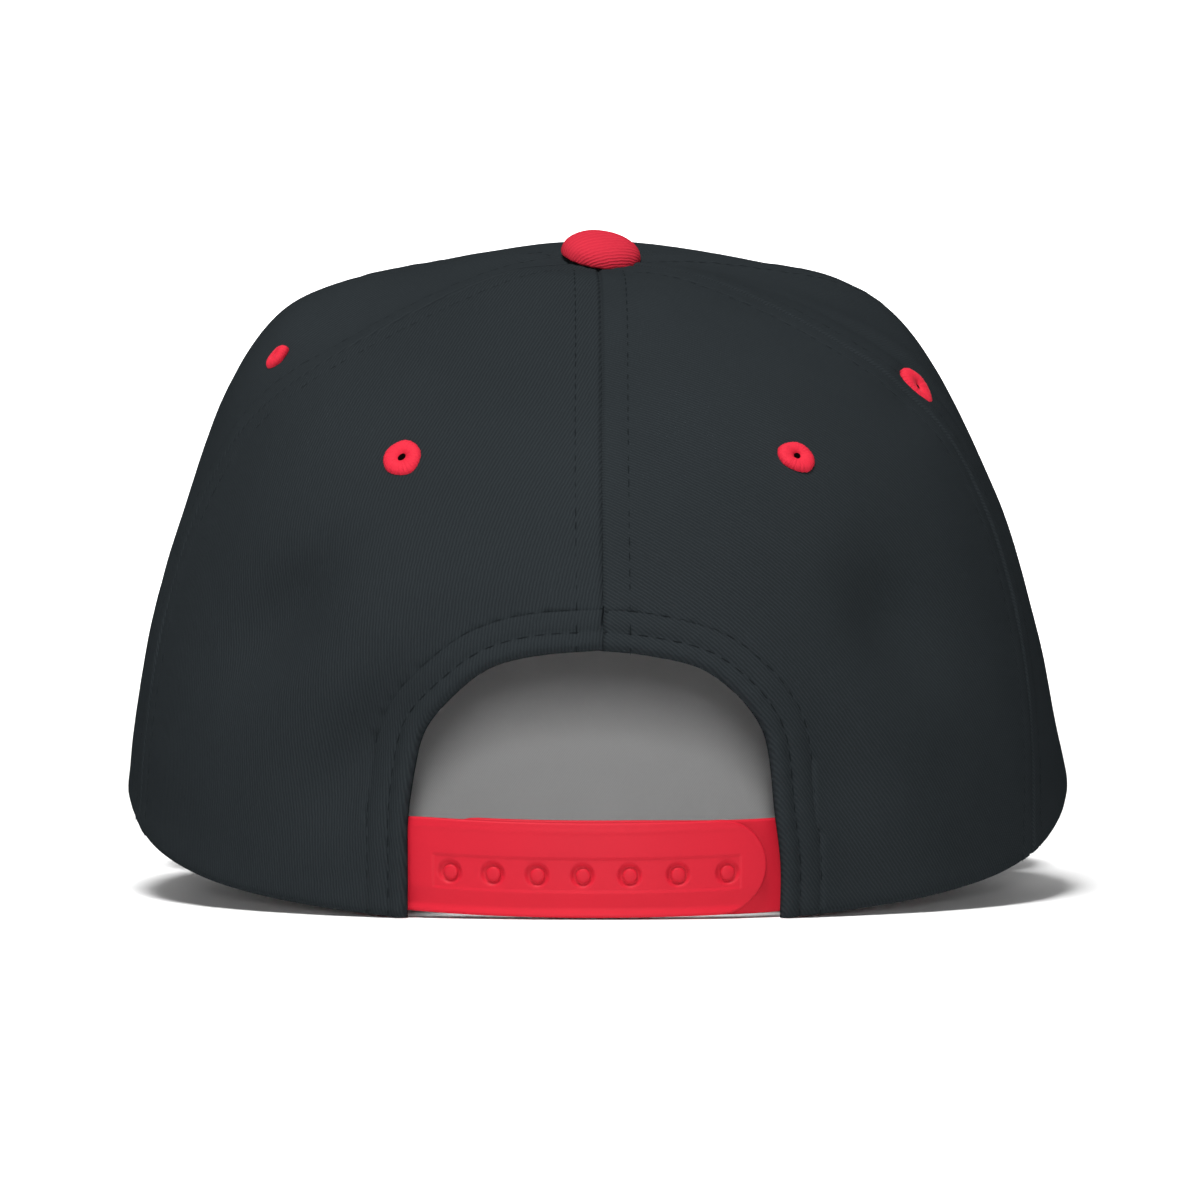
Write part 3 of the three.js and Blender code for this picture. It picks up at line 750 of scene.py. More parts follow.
def wave(tree, turns):
    """Smooth wave between 0 and 1, once for every whole turn."""
    return maths(tree, "MULTIPLY_ADD", maths(tree, "COSINE", product(tree, turns, 2 * math.pi)), 0.5, 0.5)


def noise(tree, place, scale, detail):
    made = node(tree, "ShaderNodeTexNoise", noise_dimensions="3D")
    feed(tree, made.inputs["Scale"], scale)
    made.inputs["Detail"].default_value = detail
    link(tree, place, made.inputs["Vector"])
    return made.outputs[0]


def noise_on_piece(tree, scale, detail):
    """Noise by the place on the piece, in metres."""
    place = node(tree, "ShaderNodeTexCoord")
    return noise(tree, place.outputs["Object"], scale, detail)


def new_group(name, kind, inputs, outputs):
    """Node tree with named inputs and outputs, and the nodes that hold them."""
    tree = bpy.data.node_groups.new(name, kind)
    for label, sort, value in inputs:
        socket = tree.interface.new_socket(label, in_out="INPUT", socket_type=sort)
        if value is not None:
            socket.default_value = value
    for label, sort in outputs:
        tree.interface.new_socket(label, in_out="OUTPUT", socket_type=sort)
    return tree, node(tree, "NodeGroupInput"), node(tree, "NodeGroupOutput")


def twill_group():
    """Diagonal ribs of a twill: height, and a colour share of painted shade between the ribs mixed with the
    fibres' own tone, from cloth coordinates in millimetres.
    """
    inputs = [
        ("Cloth", "NodeSocketVector", None),
        ("Pitch", "NodeSocketFloat", 0.6),
        ("Angle", "NodeSocketFloat", 0.0),
        ("Unevenness", "NodeSocketFloat", 0.12),
    ]
    outputs = [("Height", "NodeSocketFloat"), ("Painted rib shade and fibre tone", "NodeSocketFloat")]
    tree, into, out = new_group("twill weave", "ShaderNodeTree", inputs, outputs)
    cloth = into.outputs["Cloth"]
    pitch = into.outputs["Pitch"]
    split = node(tree, "ShaderNodeSeparateXYZ")
    link(tree, cloth, split.inputs[0])
    x = split.outputs[0]
    y = split.outputs[1]
    cosine = maths(tree, "COSINE", into.outputs["Angle"])
    sine = maths(tree, "SINE", into.outputs["Angle"])
    across = maths(tree, "SUBTRACT", product(tree, x, sine), product(tree, y, cosine))
    along = maths(tree, "ADD", product(tree, x, cosine), product(tree, y, sine))
    wander = maths(tree, "SUBTRACT", noise(tree, cloth, 0.55, 3.0), 0.5)
    drift = product(tree, product(tree, wander, into.outputs["Unevenness"]), 6.0)
    ribs = maths(tree, "ADD", maths(tree, "DIVIDE", across, pitch), drift)
    ridge_height = wave(tree, ribs)
    half_steps = product(tree, maths(tree, "FLOOR", ribs), 0.5)
    yarn = wave(tree, maths(tree, "ADD", maths(tree, "DIVIDE", along, pitch), half_steps))
    fibre = noise(tree, cloth, 3.2, 4.0)
    height = product(tree, ridge_height, maths(tree, "MULTIPLY_ADD", yarn, 0.3, 0.7))
    link(tree, maths(tree, "ADD", height, product(tree, fibre, 0.35)), out.inputs["Height"])
    # Colour share: painted shade, darker between the ribs and lighter on them, plus the fibres' own tone
    painted_rib_shade = maths(tree, "ADD", product(tree, ridge_height, 0.7), product(tree, fibre, 0.6))
    link(tree, painted_rib_shade, out.inputs["Painted rib shade and fibre tone"])
    return tree


def blotch_group():
    """Faint cloudy changes of tone over a piece, from place in metres."""
    inputs = [("Size", "NodeSocketFloat", 0.03), ("Strength", "NodeSocketFloat", 0.1)]
    tree, into, out = new_group("cloudy tone", "ShaderNodeTree", inputs, [("Tone", "NodeSocketFloat")])
    cloud = noise_on_piece(tree, maths(tree, "DIVIDE", 1.0, into.outputs["Size"]), 3.0)
    centred = maths(tree, "SUBTRACT", cloud, 0.5)
    link(tree, maths(tree, "MULTIPLY_ADD", centred, into.outputs["Strength"], 1.0), out.inputs["Tone"])
    return tree


TWILL = twill_group()
BLOTCH = blotch_group()


# Materials
def material_tree(name):
    material = bpy.data.materials.new(name)
    material.use_nodes = True
    tree = material.node_tree
    shader = tree.nodes["Principled BSDF"]
    return material, tree, shader


def mixed(tree, share, dark, light):
    """Colour between a dark and a light one, by a share."""
    blend = node(tree, "ShaderNodeMix", data_type="RGBA")
    blend.inputs["A"].default_value = (*dark, 1)
    blend.inputs["B"].default_value = (*light, 1)
    link(tree, share, blend.inputs["Factor"])
    return blend.outputs["Result"]


def toned(tree, colour, size, strength):
    """Colour with cloudy changes of tone."""
    group = node(tree, "ShaderNodeGroup", node_tree=BLOTCH)
    group.inputs["Size"].default_value = size
    group.inputs["Strength"].default_value = strength
    scaled = node(tree, "ShaderNodeVectorMath", operation="SCALE")
    link(tree, colour, scaled.inputs[0])
    link(tree, group.outputs["Tone"], scaled.inputs["Scale"])
    return scaled.outputs[0]


def add_relief(tree, shader, height, strength, depth):
    """Fine relief of a surface, its depth in millimetres."""
    bump = node(tree, "ShaderNodeBump")
    bump.inputs["Strength"].default_value = strength
    bump.inputs["Distance"].default_value = depth * METRES
    link(tree, height, bump.inputs["Height"])
    link(tree, bump.outputs[0], shader.inputs["Normal"])


def shaded(colour, share):
    return tuple(channel * share for channel in colour)


def cloth_material(name, dark, light, pitch, angle, relief, tone):
    """Twill cloth, its colour darker between the ribs and lighter on them as painted shade of the ribs, with
    the fibres' own tone.
    """
    material, tree, shader = material_tree(name)
    pattern = node(tree, "ShaderNodeUVMap", uv_map="cloth")
    weave = node(tree, "ShaderNodeGroup", node_tree=TWILL)
    weave.inputs["Pitch"].default_value = pitch
    weave.inputs["Angle"].default_value = math.radians(angle)
    link(tree, pattern.outputs[0], weave.inputs["Cloth"])
    # Base colour mixed by the painted rib shade and fibre tone, then given a cloudy tone
    colour = toned(tree, mixed(tree, weave.outputs["Painted rib shade and fibre tone"], dark, light), CLOTH_CLOUD_SIZE, tone)
    link(tree, colour, shader.inputs["Base Color"])
    add_relief(tree, shader, weave.outputs["Height"], 1.0, relief)
    shader.inputs["Roughness"].default_value = 0.9
    shader.inputs["Specular IOR Level"].default_value = 0.0
    return material


def thread_material(name, colour, streaks, shine):
    """Sewing thread, with streaks of a darker shade along its fibres."""
    material, tree, shader = material_tree(name)
    fibre = noise_on_piece(tree, 2600, 2)
    link(tree, mixed(tree, fibre, shaded(colour, 1 - streaks), colour), shader.inputs["Base Color"])
    add_relief(tree, shader, fibre, 0.5, 0.03)
    shader.inputs["Roughness"].default_value = 0.6
    shader.inputs["Specular IOR Level"].default_value = shine
    return material


def plastic_material(name, colour):
    """Soft moulded plastic with a fine satin grain."""
    material, tree, shader = material_tree(name)
    grain = noise_on_piece(tree, 2400, 3)
    flat = mixed(tree, grain, shaded(colour, 0.93), colour)
    link(tree, toned(tree, flat, 0.012, 0.1), shader.inputs["Base Color"])
    add_relief(tree, shader, grain, 0.35, 0.02)
    roughness = maths(tree, "MULTIPLY_ADD", grain, 0.12, 0.46)
    link(tree, roughness, shader.inputs["Roughness"])
    shader.inputs["Specular IOR Level"].default_value = 0.12
    return material


CLOTH_CLOUD_SIZE = 0.035
CROWN_CLOTH = cloth_material(
    "charcoal_twill",
    dark=(0.0108, 0.0132, 0.015),
    light=(0.0196, 0.0235, 0.0258),
    pitch=0.6,
    angle=0,
    relief=0.06,
    tone=0.25,
)
VISOR_CLOTH = cloth_material(
    "red_twill",
    dark=(0.45, 0.01, 0.022),
    light=(0.66, 0.02, 0.042),
    pitch=0.6,
    angle=50,
    relief=0.06,
    tone=0.1,
)
BUTTON_CLOTH = cloth_material(
    "red_button_cloth",
    dark=(0.385, 0.0165, 0.033),
    light=(0.46, 0.0245, 0.042),
    pitch=0.92,
    angle=28,
    relief=0.1,
    tone=0.1,
)
GREY_CLOTH = cloth_material(
    "grey_weave",
    dark=(0.57, 0.57, 0.57),
    light=(0.64, 0.64, 0.64),
    pitch=0.34,
    angle=45,
    relief=0.02,
    tone=0.06,
)
UNDERVISOR_CLOTH = cloth_material(
    "grey_undervisor",
    dark=(0.27, 0.27, 0.27),
    light=(0.33, 0.33, 0.33),
    pitch=0.5,
    angle=45,
    relief=0.04,
    tone=0.06,
)
EYELET_THREAD = thread_material("red_thread", (0.56, 0.02, 0.041), streaks=0.12, shine=0.05)
# Near-black red that paints the shade inside the eyelets' holes
PAINTED_HOLE_SHADE = thread_material("eyelet_hole_painted_shade", (0.004, 0.0012, 0.0014), streaks=0.3, shine=0)
# Seam thread: its own charcoal colour, made darker than the cloth as painted shade of the stitch holes and
# grooves
SEAM_THREAD_WITH_PAINTED_SHADE = thread_material("charcoal_thread_with_painted_shade", (0.0095, 0.0117, 0.013), streaks=0.3, shine=0)
VISOR_THREAD = thread_material("red_visor_thread", (0.62, 0.024, 0.045), streaks=0.3, shine=0.12)
STRAP_PLASTIC = plastic_material("red_satin_plastic", (0.47, 0.0108, 0.0247))


# Pieces of thread, laid out by node trees
def lay_thread(tree, into, out, points, thread, rotation, scale):
    """Puts a thread on every point, makes the copies real and dyes them."""
    laid = node(tree, "GeometryNodeInstanceOnPoints")
    for label, source in (("Points", points), ("Instance", thread), ("Rotation", rotation), ("Scale", scale)):
        link(tree, source, laid.inputs[label])
    real = node(tree, "GeometryNodeRealizeInstances")
    link(tree, laid.outputs[0], real.inputs[0])
    dyed = node(tree, "GeometryNodeSetMaterial")
    link(tree, real.outputs[0], dyed.inputs["Geometry"])
    link(tree, into.outputs["Thread"], dyed.inputs["Material"])
    link(tree, dyed.outputs[0], out.inputs[0])


def random_sizes(tree, low, high):
    """A size for each copy of a thread, between two limits."""
    sizes = node(tree, "FunctionNodeRandomValue", data_type="FLOAT_VECTOR")
    sizes.inputs["Min"].default_value = low
    sizes.inputs["Max"].default_value = high
    return sizes


def stitch_tree():
    """Stitches along a path: a short thread on every step of it, its flat side to the cloth."""
    inputs = [
        ("Path", "NodeSocketGeometry", None),
        *((label, "NodeSocketFloat", value * METRES) for label, value in USUAL_STITCH.items()),
        ("Thread", "NodeSocketMaterial", None),
    ]
    outputs = [("Stitches", "NodeSocketGeometry")]
    tree, into, out = new_group("stitches along a path", "GeometryNodeTree", inputs, outputs)
    curve = node(tree, "GeometryNodeMeshToCurve")
    link(tree, into.outputs["Path"], curve.inputs[0])
    even = node(tree, "GeometryNodeResampleCurve", mode="LENGTH")
    link(tree, curve.outputs[0], even.inputs["Curve"])
    link(tree, into.outputs["Step"], even.inputs["Length"])
    bead = node(tree, "GeometryNodeMeshUVSphere")
    bead.inputs["Segments"].default_value = 8
    bead.inputs["Rings"].default_value = 6
    bead.inputs["Radius"].default_value = 0.5
    size = node(tree, "ShaderNodeCombineXYZ")
    for number, label in enumerate(("Length", "Width", "Rise")):
        link(tree, into.outputs[label], size.inputs[number])
    shaped = node(tree, "GeometryNodeTransform")
    link(tree, bead.outputs[0], shaped.inputs["Geometry"])
    link(tree, size.outputs[0], shaped.inputs["Scale"])
    tangent = node(tree, "GeometryNodeInputTangent")
    along = node(tree, "FunctionNodeAlignEulerToVector", axis="X")
    link(tree, tangent.outputs[0], along.inputs["Vector"])
    outward = node(tree, "GeometryNodeInputNamedAttribute", data_type="FLOAT_VECTOR")
    outward.inputs["Name"].default_value = "outward"
    upright = node(tree, "FunctionNodeAlignEulerToVector", axis="Z", pivot_axis="X")
    link(tree, along.outputs[0], upright.inputs["Rotation"])
    link(tree, outward.outputs[0], upright.inputs["Vector"])
    chance = random_sizes(tree, (0.82, 0.85, 0.8), (1.08, 1.1, 1.1))
    chance.inputs["Seed"].default_value = STITCH_SEED
    lay_thread(tree, into, out, even.outputs[0], shaped.outputs[0], upright.outputs[0], chance.outputs[0])
    return tree


def strand_tree():
    """Strands round a ring: the same strand turned to every place, each a little off."""
    inputs = [
        ("Strand", "NodeSocketGeometry", None),
        ("Count", "NodeSocketInt", STRAND_COUNT),
        ("Seed", "NodeSocketInt", None),
        ("Thread", "NodeSocketMaterial", None),
    ]
    outputs = [("Ring", "NodeSocketGeometry")]
    tree, into, out = new_group("strands round a ring", "GeometryNodeTree", inputs, outputs)
    ring = node(tree, "GeometryNodePoints")
    link(tree, into.outputs["Count"], ring.inputs["Count"])
    number = node(tree, "GeometryNodeInputIndex")
    step = maths(tree, "DIVIDE", 2 * math.pi, into.outputs["Count"])
    stray = node(tree, "FunctionNodeRandomValue", data_type="FLOAT")
    stray.inputs[2].default_value = -STRAND_STRAY
    stray.inputs[3].default_value = STRAND_STRAY
    link(tree, into.outputs["Seed"], stray.inputs["Seed"])
    angle = maths(tree, "ADD", product(tree, number.outputs[0], step), stray.outputs[1])
    spin = node(tree, "ShaderNodeCombineXYZ")
    link(tree, angle, spin.inputs[2])
    size = random_sizes(tree, (0.985, 0.97, 0.96), (1.005, 1.03, 1.02))
    link(tree, into.outputs["Seed"], size.inputs["Seed"])
    lay_thread(tree, into, out, ring.outputs[0], into.outputs["Strand"], spin.outputs[0], size.outputs[0])
    return tree


USUAL_STITCH = {"Step": 2.9, "Length": 2.1, "Width": 0.34, "Rise": 0.22}
STITCH_SEED = 11
STRAND_COUNT = 60
STRAND_STRAY = 0.03
STITCHES = stitch_tree()
STRANDS = strand_tree()


def run_tree(piece, tree, values):
    """Runs a node tree on a piece, and turns what it makes into the piece's own mesh."""
    modifier = piece.modifiers.new("thread", "NODES")
    modifier.node_group = tree
    for item in tree.interface.items_tree:
        if item.in_out == "INPUT" and item.name in values:
            modifier[item.identifier] = values[item.name]
    graph = bpy.context.evaluated_depsgraph_get()
    made = bpy.data.meshes.new_from_object(piece.evaluated_get(graph))
    old = piece.data
    piece.modifiers.clear()
    piece.data = made
    made.name = piece.name
    bpy.data.meshes.remove(old)
    made.shade_smooth()


def stitched(name, paths, slot, material, **sizes):
    """Stitches along paths, each given as points and outward directions in the cap's frame.

    Sizes of the stitches that aren't given are the usual ones.
    """
    points = []
    outward = []
    edges = []
    for line, directions in paths:
        start = len(points)
        points.extend(to_rest(line).tolist())
        outward.extend(turned_to_rest(directions).tolist())
        edges.extend((start + i, start + i + 1) for i in range(len(line) - 1))
    piece = add_piece(name, points, [], edges)
    attribute = piece.data.attributes.new("outward", "FLOAT_VECTOR", "POINT")
    attribute.data.foreach_set("vector", np.asarray(outward, float).ravel())
    values = {label: value * METRES for label, value in {**USUAL_STITCH, **sizes}.items()}
    run_tree(piece, STITCHES, {**values, "Thread": material})
    finish_piece(piece, None, material)


# Crown
for panel_name in PANELS:
    parts = [panel_mesh(panel_name)]
    if panel_name.startswith("panel_back"):
        parts.append(hem_mesh(panel_name))
    cloth = joined(panel_name + "_cloth", parts)
    finish_piece(cloth, panel_name, CROWN_CLOTH)


# Topstitching of the crown
SEAM_STITCH_TOP = 0.06
SEAM_STITCH_FOOT = 0.995
BACK_STITCH_FOOT = ARCH_TOP_LEVEL - 0.012
SEAM_STITCH_LIFT = 0.02
CROSSING_LIFT = 0.03
HEM_ROWS = [{"reach": 3.0, "rise": 0.0}, {"reach": 6.75, "rise": -0.04}]
HEM_ROWS_FOOT = 0.6


def owns(panel, turn, level):
    """Whether a place on the crown is on a panel."""
    start = curve_through(SEAM_TURNS[PANELS[panel]["start"]], level)
    end = curve_through(SEAM_TURNS[PANELS[panel]["end"]], level)
    return start <= turn <= end


def seam_path(seam, side, foot):
    """Topstitching beside a seam, from near the button down to a level at its foot."""
    count = 120
    level = np.linspace(SEAM_STITCH_TOP, foot, count)
    turn = curve_through(SEAM_TURNS[seam], level) % 360
    turn = np.where(turn > 180, turn - 360, turn)
    turn = turn + side * np.degrees(TOPSTITCH / radius_at(turn, level))
    turn = (turn + 180) % 360 - 180
    middle = count // 2
    panel = next(name for name in PANELS if owns(name, turn[middle], level[middle]))
    rise = cloth_relief(turn, level, panel) + SEAM_STITCH_LIFT
    return crown_offset(turn, level, rise), crown_normal(turn, level)


def hem_path(reach, rise):
    """Topstitching round the opening, at a distance from its edge."""
    places = ARCH + outward_from(ARCH) * reach
    places = places[places[:, 1] > HEM_ROWS_FOOT]
    turn, level = place_at(places[:, 0], places[:, 1])
    left = broad_waves("panel_back_left", turn, level)
    right = broad_waves("panel_back_right", turn, level)
    waves = np.where(places[:, 0] < BACK_SEAM_X, left, right)
    return crown_offset(turn, level, rise + waves), crown_normal(turn, level)


def crossing_path(x):
    """Topstitching of the centre seam where it runs on over the hem, down to the opening."""
    edge = np.interp(x, ARCH[:, 0], ARCH[:, 1])
    reach = np.linspace(0.5, HEM_WIDTH, 16)
    turn, level = place_at(np.full_like(reach, x), edge + reach)
    outer = [(place, rise) for place, rise in HEM_SECTION if rise > HEM_OUTER_FACE][::-1]
    rise = np.interp(reach, [place for place, _ in outer], [rise for _, rise in outer])
    panel = "panel_back_left" if x < BACK_SEAM_X else "panel_back_right"
    waves = broad_waves(panel, turn, level)
    return crown_offset(turn, level, rise + waves + CROSSING_LIFT), crown_normal(turn, level)


# The seam thread's darkness is partly its own colour and partly painted shade of the stitch holes
seam_paths = []
for seam_name in ("front_left", "back_left", "back_right", "front_right", "front_start"):
    for seam_side in (-1, 1):
        seam_paths.append(seam_path(seam_name, seam_side, SEAM_STITCH_FOOT))
stitched("seam_topstitching", seam_paths, "crown_twill", SEAM_THREAD_WITH_PAINTED_SHADE, Width=0.2, Rise=0.07)
back_paths = [seam_path("back", side, BACK_STITCH_FOOT) for side in (-1, 1)]
stitched("back_seam_topstitching", back_paths, "crown_twill", SEAM_THREAD_WITH_PAINTED_SHADE, Width=0.25, Rise=0.1)
hem_paths = [hem_path(row["reach"], row["rise"]) for row in HEM_ROWS]
hem_paths += [crossing_path(BACK_SEAM_X + side * TOPSTITCH) for side in (-1, 1)]
stitched("opening_topstitching", hem_paths, "crown_twill", SEAM_THREAD_WITH_PAINTED_SHADE, Step=3.0, Width=0.25, Rise=0.14)


# Button
BUTTON_RADIUS = 7.5
BUTTON_HEIGHT = 5.0
BUTTON_EDGE = 1.0
BUTTON_UNDERSIDE = 1.1
BUTTON_WRAP = math.radians(150)
BUTTON_FULLNESS = 0.84
BUTTON_SINK = 0.95
BUTTON_SHIFT = 0.55
BUTTON_LEAN_RIGHT = math.radians(7.5)
BUTTON_LEAN_BACK = math.radians(11.0)
BUTTON_FOLDS = 17
BUTTON_FOLD_DEPTH = 0.1
BUTTON_LUMPS = 0.09


def button_mesh():
    """Domed button with cloth drawn round it, leaning back and to the right."""
    rings = np.concatenate([np.linspace(0, 0.12, 6)[:-1], np.linspace(0.12, 1, 46)])
    spokes = 128
    bend = rings * BUTTON_WRAP
    radius = BUTTON_RADIUS * np.sin(bend) ** BUTTON_FULLNESS
    above = BUTTON_EDGE + (BUTTON_HEIGHT - BUTTON_EDGE) * np.cos(bend)
    under = BUTTON_EDGE + BUTTON_UNDERSIDE * np.cos(bend)
    rise = np.where(bend > math.pi / 2, under, above)
    angle = np.linspace(0, 2 * math.pi, spokes, endpoint=False)
    x = radius[:, None] * np.cos(angle)[None, :]
    y = radius[:, None] * np.sin(angle)[None, :]
    z = np.broadcast_to(rise[:, None], x.shape)
    lumps = BUTTON_LUMPS * soft_noise(np.stack([x, y, z], -1), 5, 7)
    drawn = np.sin(angle * BUTTON_FOLDS + np.sin(angle * 3) * 1.2)[None, :]
    fold = smooth((rings - 0.45) / 0.4)[:, None] * BUTTON_FOLD_DEPTH * drawn
    scale = 1 + (lumps + fold) / BUTTON_RADIUS
    points = np.stack([x * scale, y * scale, z + lumps * 0.6], -1)
    x, z = leaned(points[..., 0], points[..., 2], BUTTON_LEAN_RIGHT)
    y, z = leaned(points[..., 1], z, -BUTTON_LEAN_BACK)
    points = np.stack([x + BUTTON_SHIFT, y, z + CROWN_HEIGHT - BUTTON_SINK], -1)
    top = [[0, spokes + i, spokes + (i + 1) % spokes] for i in range(spokes)]
    faces = ring_faces(len(rings) - 1, spokes, spokes, turned=True) + top
    bottom = (len(rings) - 1) * spokes
    faces.append([bottom + i for i in range(spokes)][::-1])
    arc = BUTTON_RADIUS * bend * 0.92
    patterns = np.stack([arc[:, None] * np.cos(angle), arc[:, None] * np.sin(angle)], -1)
    return add_mesh("top_button_cloth", points.reshape(-1, 3), faces, patterns.reshape(-1, 2))


def leaned(across, up, angle):
    """Places turned by an angle, from up towards across."""
    cosine = math.cos(angle)
    sine = math.sin(angle)
    return across * cosine + up * sine, up * cosine - across * sine


finish_piece(button_mesh(), "top_button", BUTTON_CLOTH)


# Eyelets: strands of thread laid round a ring
STRAND_REACH = np.array([0.5, 0.52, 0.7, 1.15, 1.8, 2.5, 3.05, 3.35, 3.42])
STRAND_RISE = np.array([-1.4, -0.5, 0.15, 0.62, 0.84, 0.78, 0.5, 0.1, -0.7])
STRAND_WIDTH = np.array([0.05, 0.06, 0.09, 0.14, 0.2, 0.25, 0.27, 0.26, 0.2])
STRAND_FLATNESS = 0.8
STRAND_SPREAD = 1.15
HOLE_LEAN = 50
HOLE_RISE = 0.36
HOLE_DEPTH = 0.4
FIRST_EYELET_SEED = 40


def strand_mesh(name):
    """One strand in metres, along X from the hole out over the ring and down to the cloth."""
    sides = 6
    angle = np.linspace(0, 2 * math.pi, sides, endpoint=False)
    slope = unit(np.stack([np.gradient(STRAND_REACH), np.gradient(STRAND_RISE)], -1))
    lift = np.cos(angle)[None, :] * STRAND_WIDTH[:, None] * STRAND_FLATNESS
    x = STRAND_REACH[:, None] - slope[:, 1:] * lift
    y = np.sin(angle)[None, :] * STRAND_WIDTH[:, None] * STRAND_SPREAD
    z = STRAND_RISE[:, None] + slope[:, :1] * lift
    points = np.stack([x, y, z], -1).reshape(-1, 3) * METRES
    faces = ring_faces(len(STRAND_REACH), sides, turned=True)
    faces.append(list(range(sides)))
    faces.append(list(range(len(points) - sides, len(points)))[::-1])
    return add_piece(name, points.tolist(), faces)


def ring_shape(places, long, lean, seed):
    """Uneven outline of a sewn eyelet, longer one way, with a slit of a hole."""
    reach = np.hypot(places[:, 0], places[:, 1])
    angle = np.arctan2(places[:, 1], places[:, 0])
    lobes = 0.025 * np.cos(3 * angle + seed) + 0.015 * np.cos(5 * angle + 2 * seed)
    out = reach * (1 + lobes * smooth(reach / METRES / 3))
    shut = 0.3 * (1 - smooth((reach / METRES - 0.45) / 1.4))
    places = stretched(np.stack([out * np.cos(angle), out * np.sin(angle)], -1), HOLE_LEAN + 90, 1 - shut)
    return stretched(places, lean, long)


def stretched(places, lean, share):
    """Places drawn out along one direction of the face."""
    along = np.array([math.cos(math.radians(lean)), math.sin(math.radians(lean))])
    amount = (places @ along) * (share - 1)
    return places + amount[:, None] * along


def painted_shade_disc(name, radius):
    """Dark disc low in an eyelet's hole: painted shade that stands in for the shadow inside the hole."""
    sides = 16
    angle = np.linspace(0, 2 * math.pi, sides, endpoint=False)
    rim = np.stack([radius * np.cos(angle), radius * np.sin(angle), np.full(sides, HOLE_RISE)], -1)
    low = rim - np.array([0, 0, HOLE_DEPTH])
    faces = [list(range(sides)), list(range(2 * sides - 1, sides - 1, -1))]
    faces += ring_faces(2, sides, turned=True)
    return add_piece(name, (np.concatenate([rim, low]) * METRES).tolist(), faces)


def eyelet_piece(name, shape, seed):
    """Eyelet of thread, and the dark disc of painted shade in its hole, which is returned."""
    piece = strand_mesh(name + "_thread")
    run_tree(piece, STRANDS, {"Count": STRAND_COUNT, "Seed": seed, "Thread": EYELET_THREAD})
    corners = np.zeros(len(piece.data.vertices) * 3)
    piece.data.vertices.foreach_get("co", corners)
    corners = corners.reshape(-1, 3)
    corners[:, :2] = ring_shape(corners[:, :2], shape["long"], shape["lean"], seed)
    piece.data.vertices.foreach_set("co", corners.ravel())
    turn = float(shape["turn"])
    centre = to_rest(crown_point(turn, shape["level"]))
    outward = Vector(turned_to_rest(crown_normal(turn, shape["level"])))
    side = Vector((0, 0, 1)).cross(outward).normalized()
    face = Matrix((side, outward.cross(side), outward)).transposed().to_4x4()
    nod = Matrix.Rotation(math.radians(shape["nod"]), 4, "X")
    tip = Matrix.Rotation(math.radians(shape["tip"]), 4, "Y")
    scale = Matrix.Diagonal((shape["size"], shape["size"], 1, 1))
    placed = Matrix.Translation(Vector(centre)) @ face @ nod @ tip @ scale
    piece.data.transform(placed)
    disc = painted_shade_disc(name + "_painted_hole_shade", shape["hole"])
    disc.data.transform(placed)
    finish_piece(piece, name, EYELET_THREAD)
    return disc


# Dark discs in the eyelets' holes: painted shade, not a part of the cap
painted_shade_discs = []
for number, (eyelet_name, eyelet_shape) in enumerate(EYELETS.items()):
    painted_shade_discs.append(eyelet_piece(eyelet_name, eyelet_shape, FIRST_EYELET_SEED + number))
finish_piece(joined("eyelet_hole_painted_shade_discs", painted_shade_discs), None, PAINTED_HOLE_SHADE)


# Sweatband
BAND_HEIGHTS = [32, 31.8, 31.3, 30.4, 28, 25, 22, 19, 16, 13, 10, 7, 4.5, 2.6, 1.2, 0.4, 0, -0.3, -0.4]
BAND_TURN_STEP = 1.5
BAND_EDGE = {"height": 0.5, "middle": 0, "width": 0.5}
BAND_PUCKER = {"height": 1, "middle": 1.5, "width": 5}
BAND_PUCKER_RISE = 0.1
BAND_WAVES = 0.35


def band_mesh():
    """Band inside the rim, from the left of the opening round the front to its right."""
    left = np.arange(-BAND_START, -180, -BAND_TURN_STEP)
    right = np.arange(180, BAND_START, -BAND_TURN_STEP)
    turns = np.concatenate([left, right, [BAND_START]])
    turns = turns[np.concatenate([[True], np.abs(np.diff(turns)) > 1e-6])]
    turn, height = np.meshgrid(turns, BAND_HEIGHTS, indexing="xy")
    level = level_above(turn, np.maximum(height, 0))
    edge = np.minimum(BAND_HEIGHTS[0] - height, height - BAND_HEIGHTS[-1])
    rounding = ridge(edge, **BAND_EDGE)
    base = crown_point(turn, level)
    around = np.radians(turn)
    ripple = BAND_PUCKER_RISE * np.sin(around * 40 + 2 * np.sin(around * 9))
    puckers = ripple * ridge(height, **BAND_PUCKER)
    waves = BAND_WAVES * soft_noise(base, 71, 40)
    depth_out = -BAND_DEPTH - rounding
    depth_in = -BAND_DEPTH - BAND_THICKNESS + rounding * 0.8 + puckers + waves * 0.4 - 0.1
    hang = BAND_FRONT_HANG * smooth((np.abs(turn) - 110) / 40) * (1 - smooth(height / 12))
    drop = (np.minimum(height, 0) - hang)[..., None] * np.array([0, 0, 1.0])
    outer = crown_offset(turn, level, depth_out) + drop
    inner = crown_offset(turn, level, depth_in) + drop
    length = np.radians(-turn % 360) * radius_at(turn, level)
    patterns = np.stack([length, height], -1)
    return shell("sweatband_cloth", outer[:, ::-1], inner[:, ::-1], patterns[:, ::-1])


finish_piece(band_mesh(), "sweatband", GREY_CLOTH)


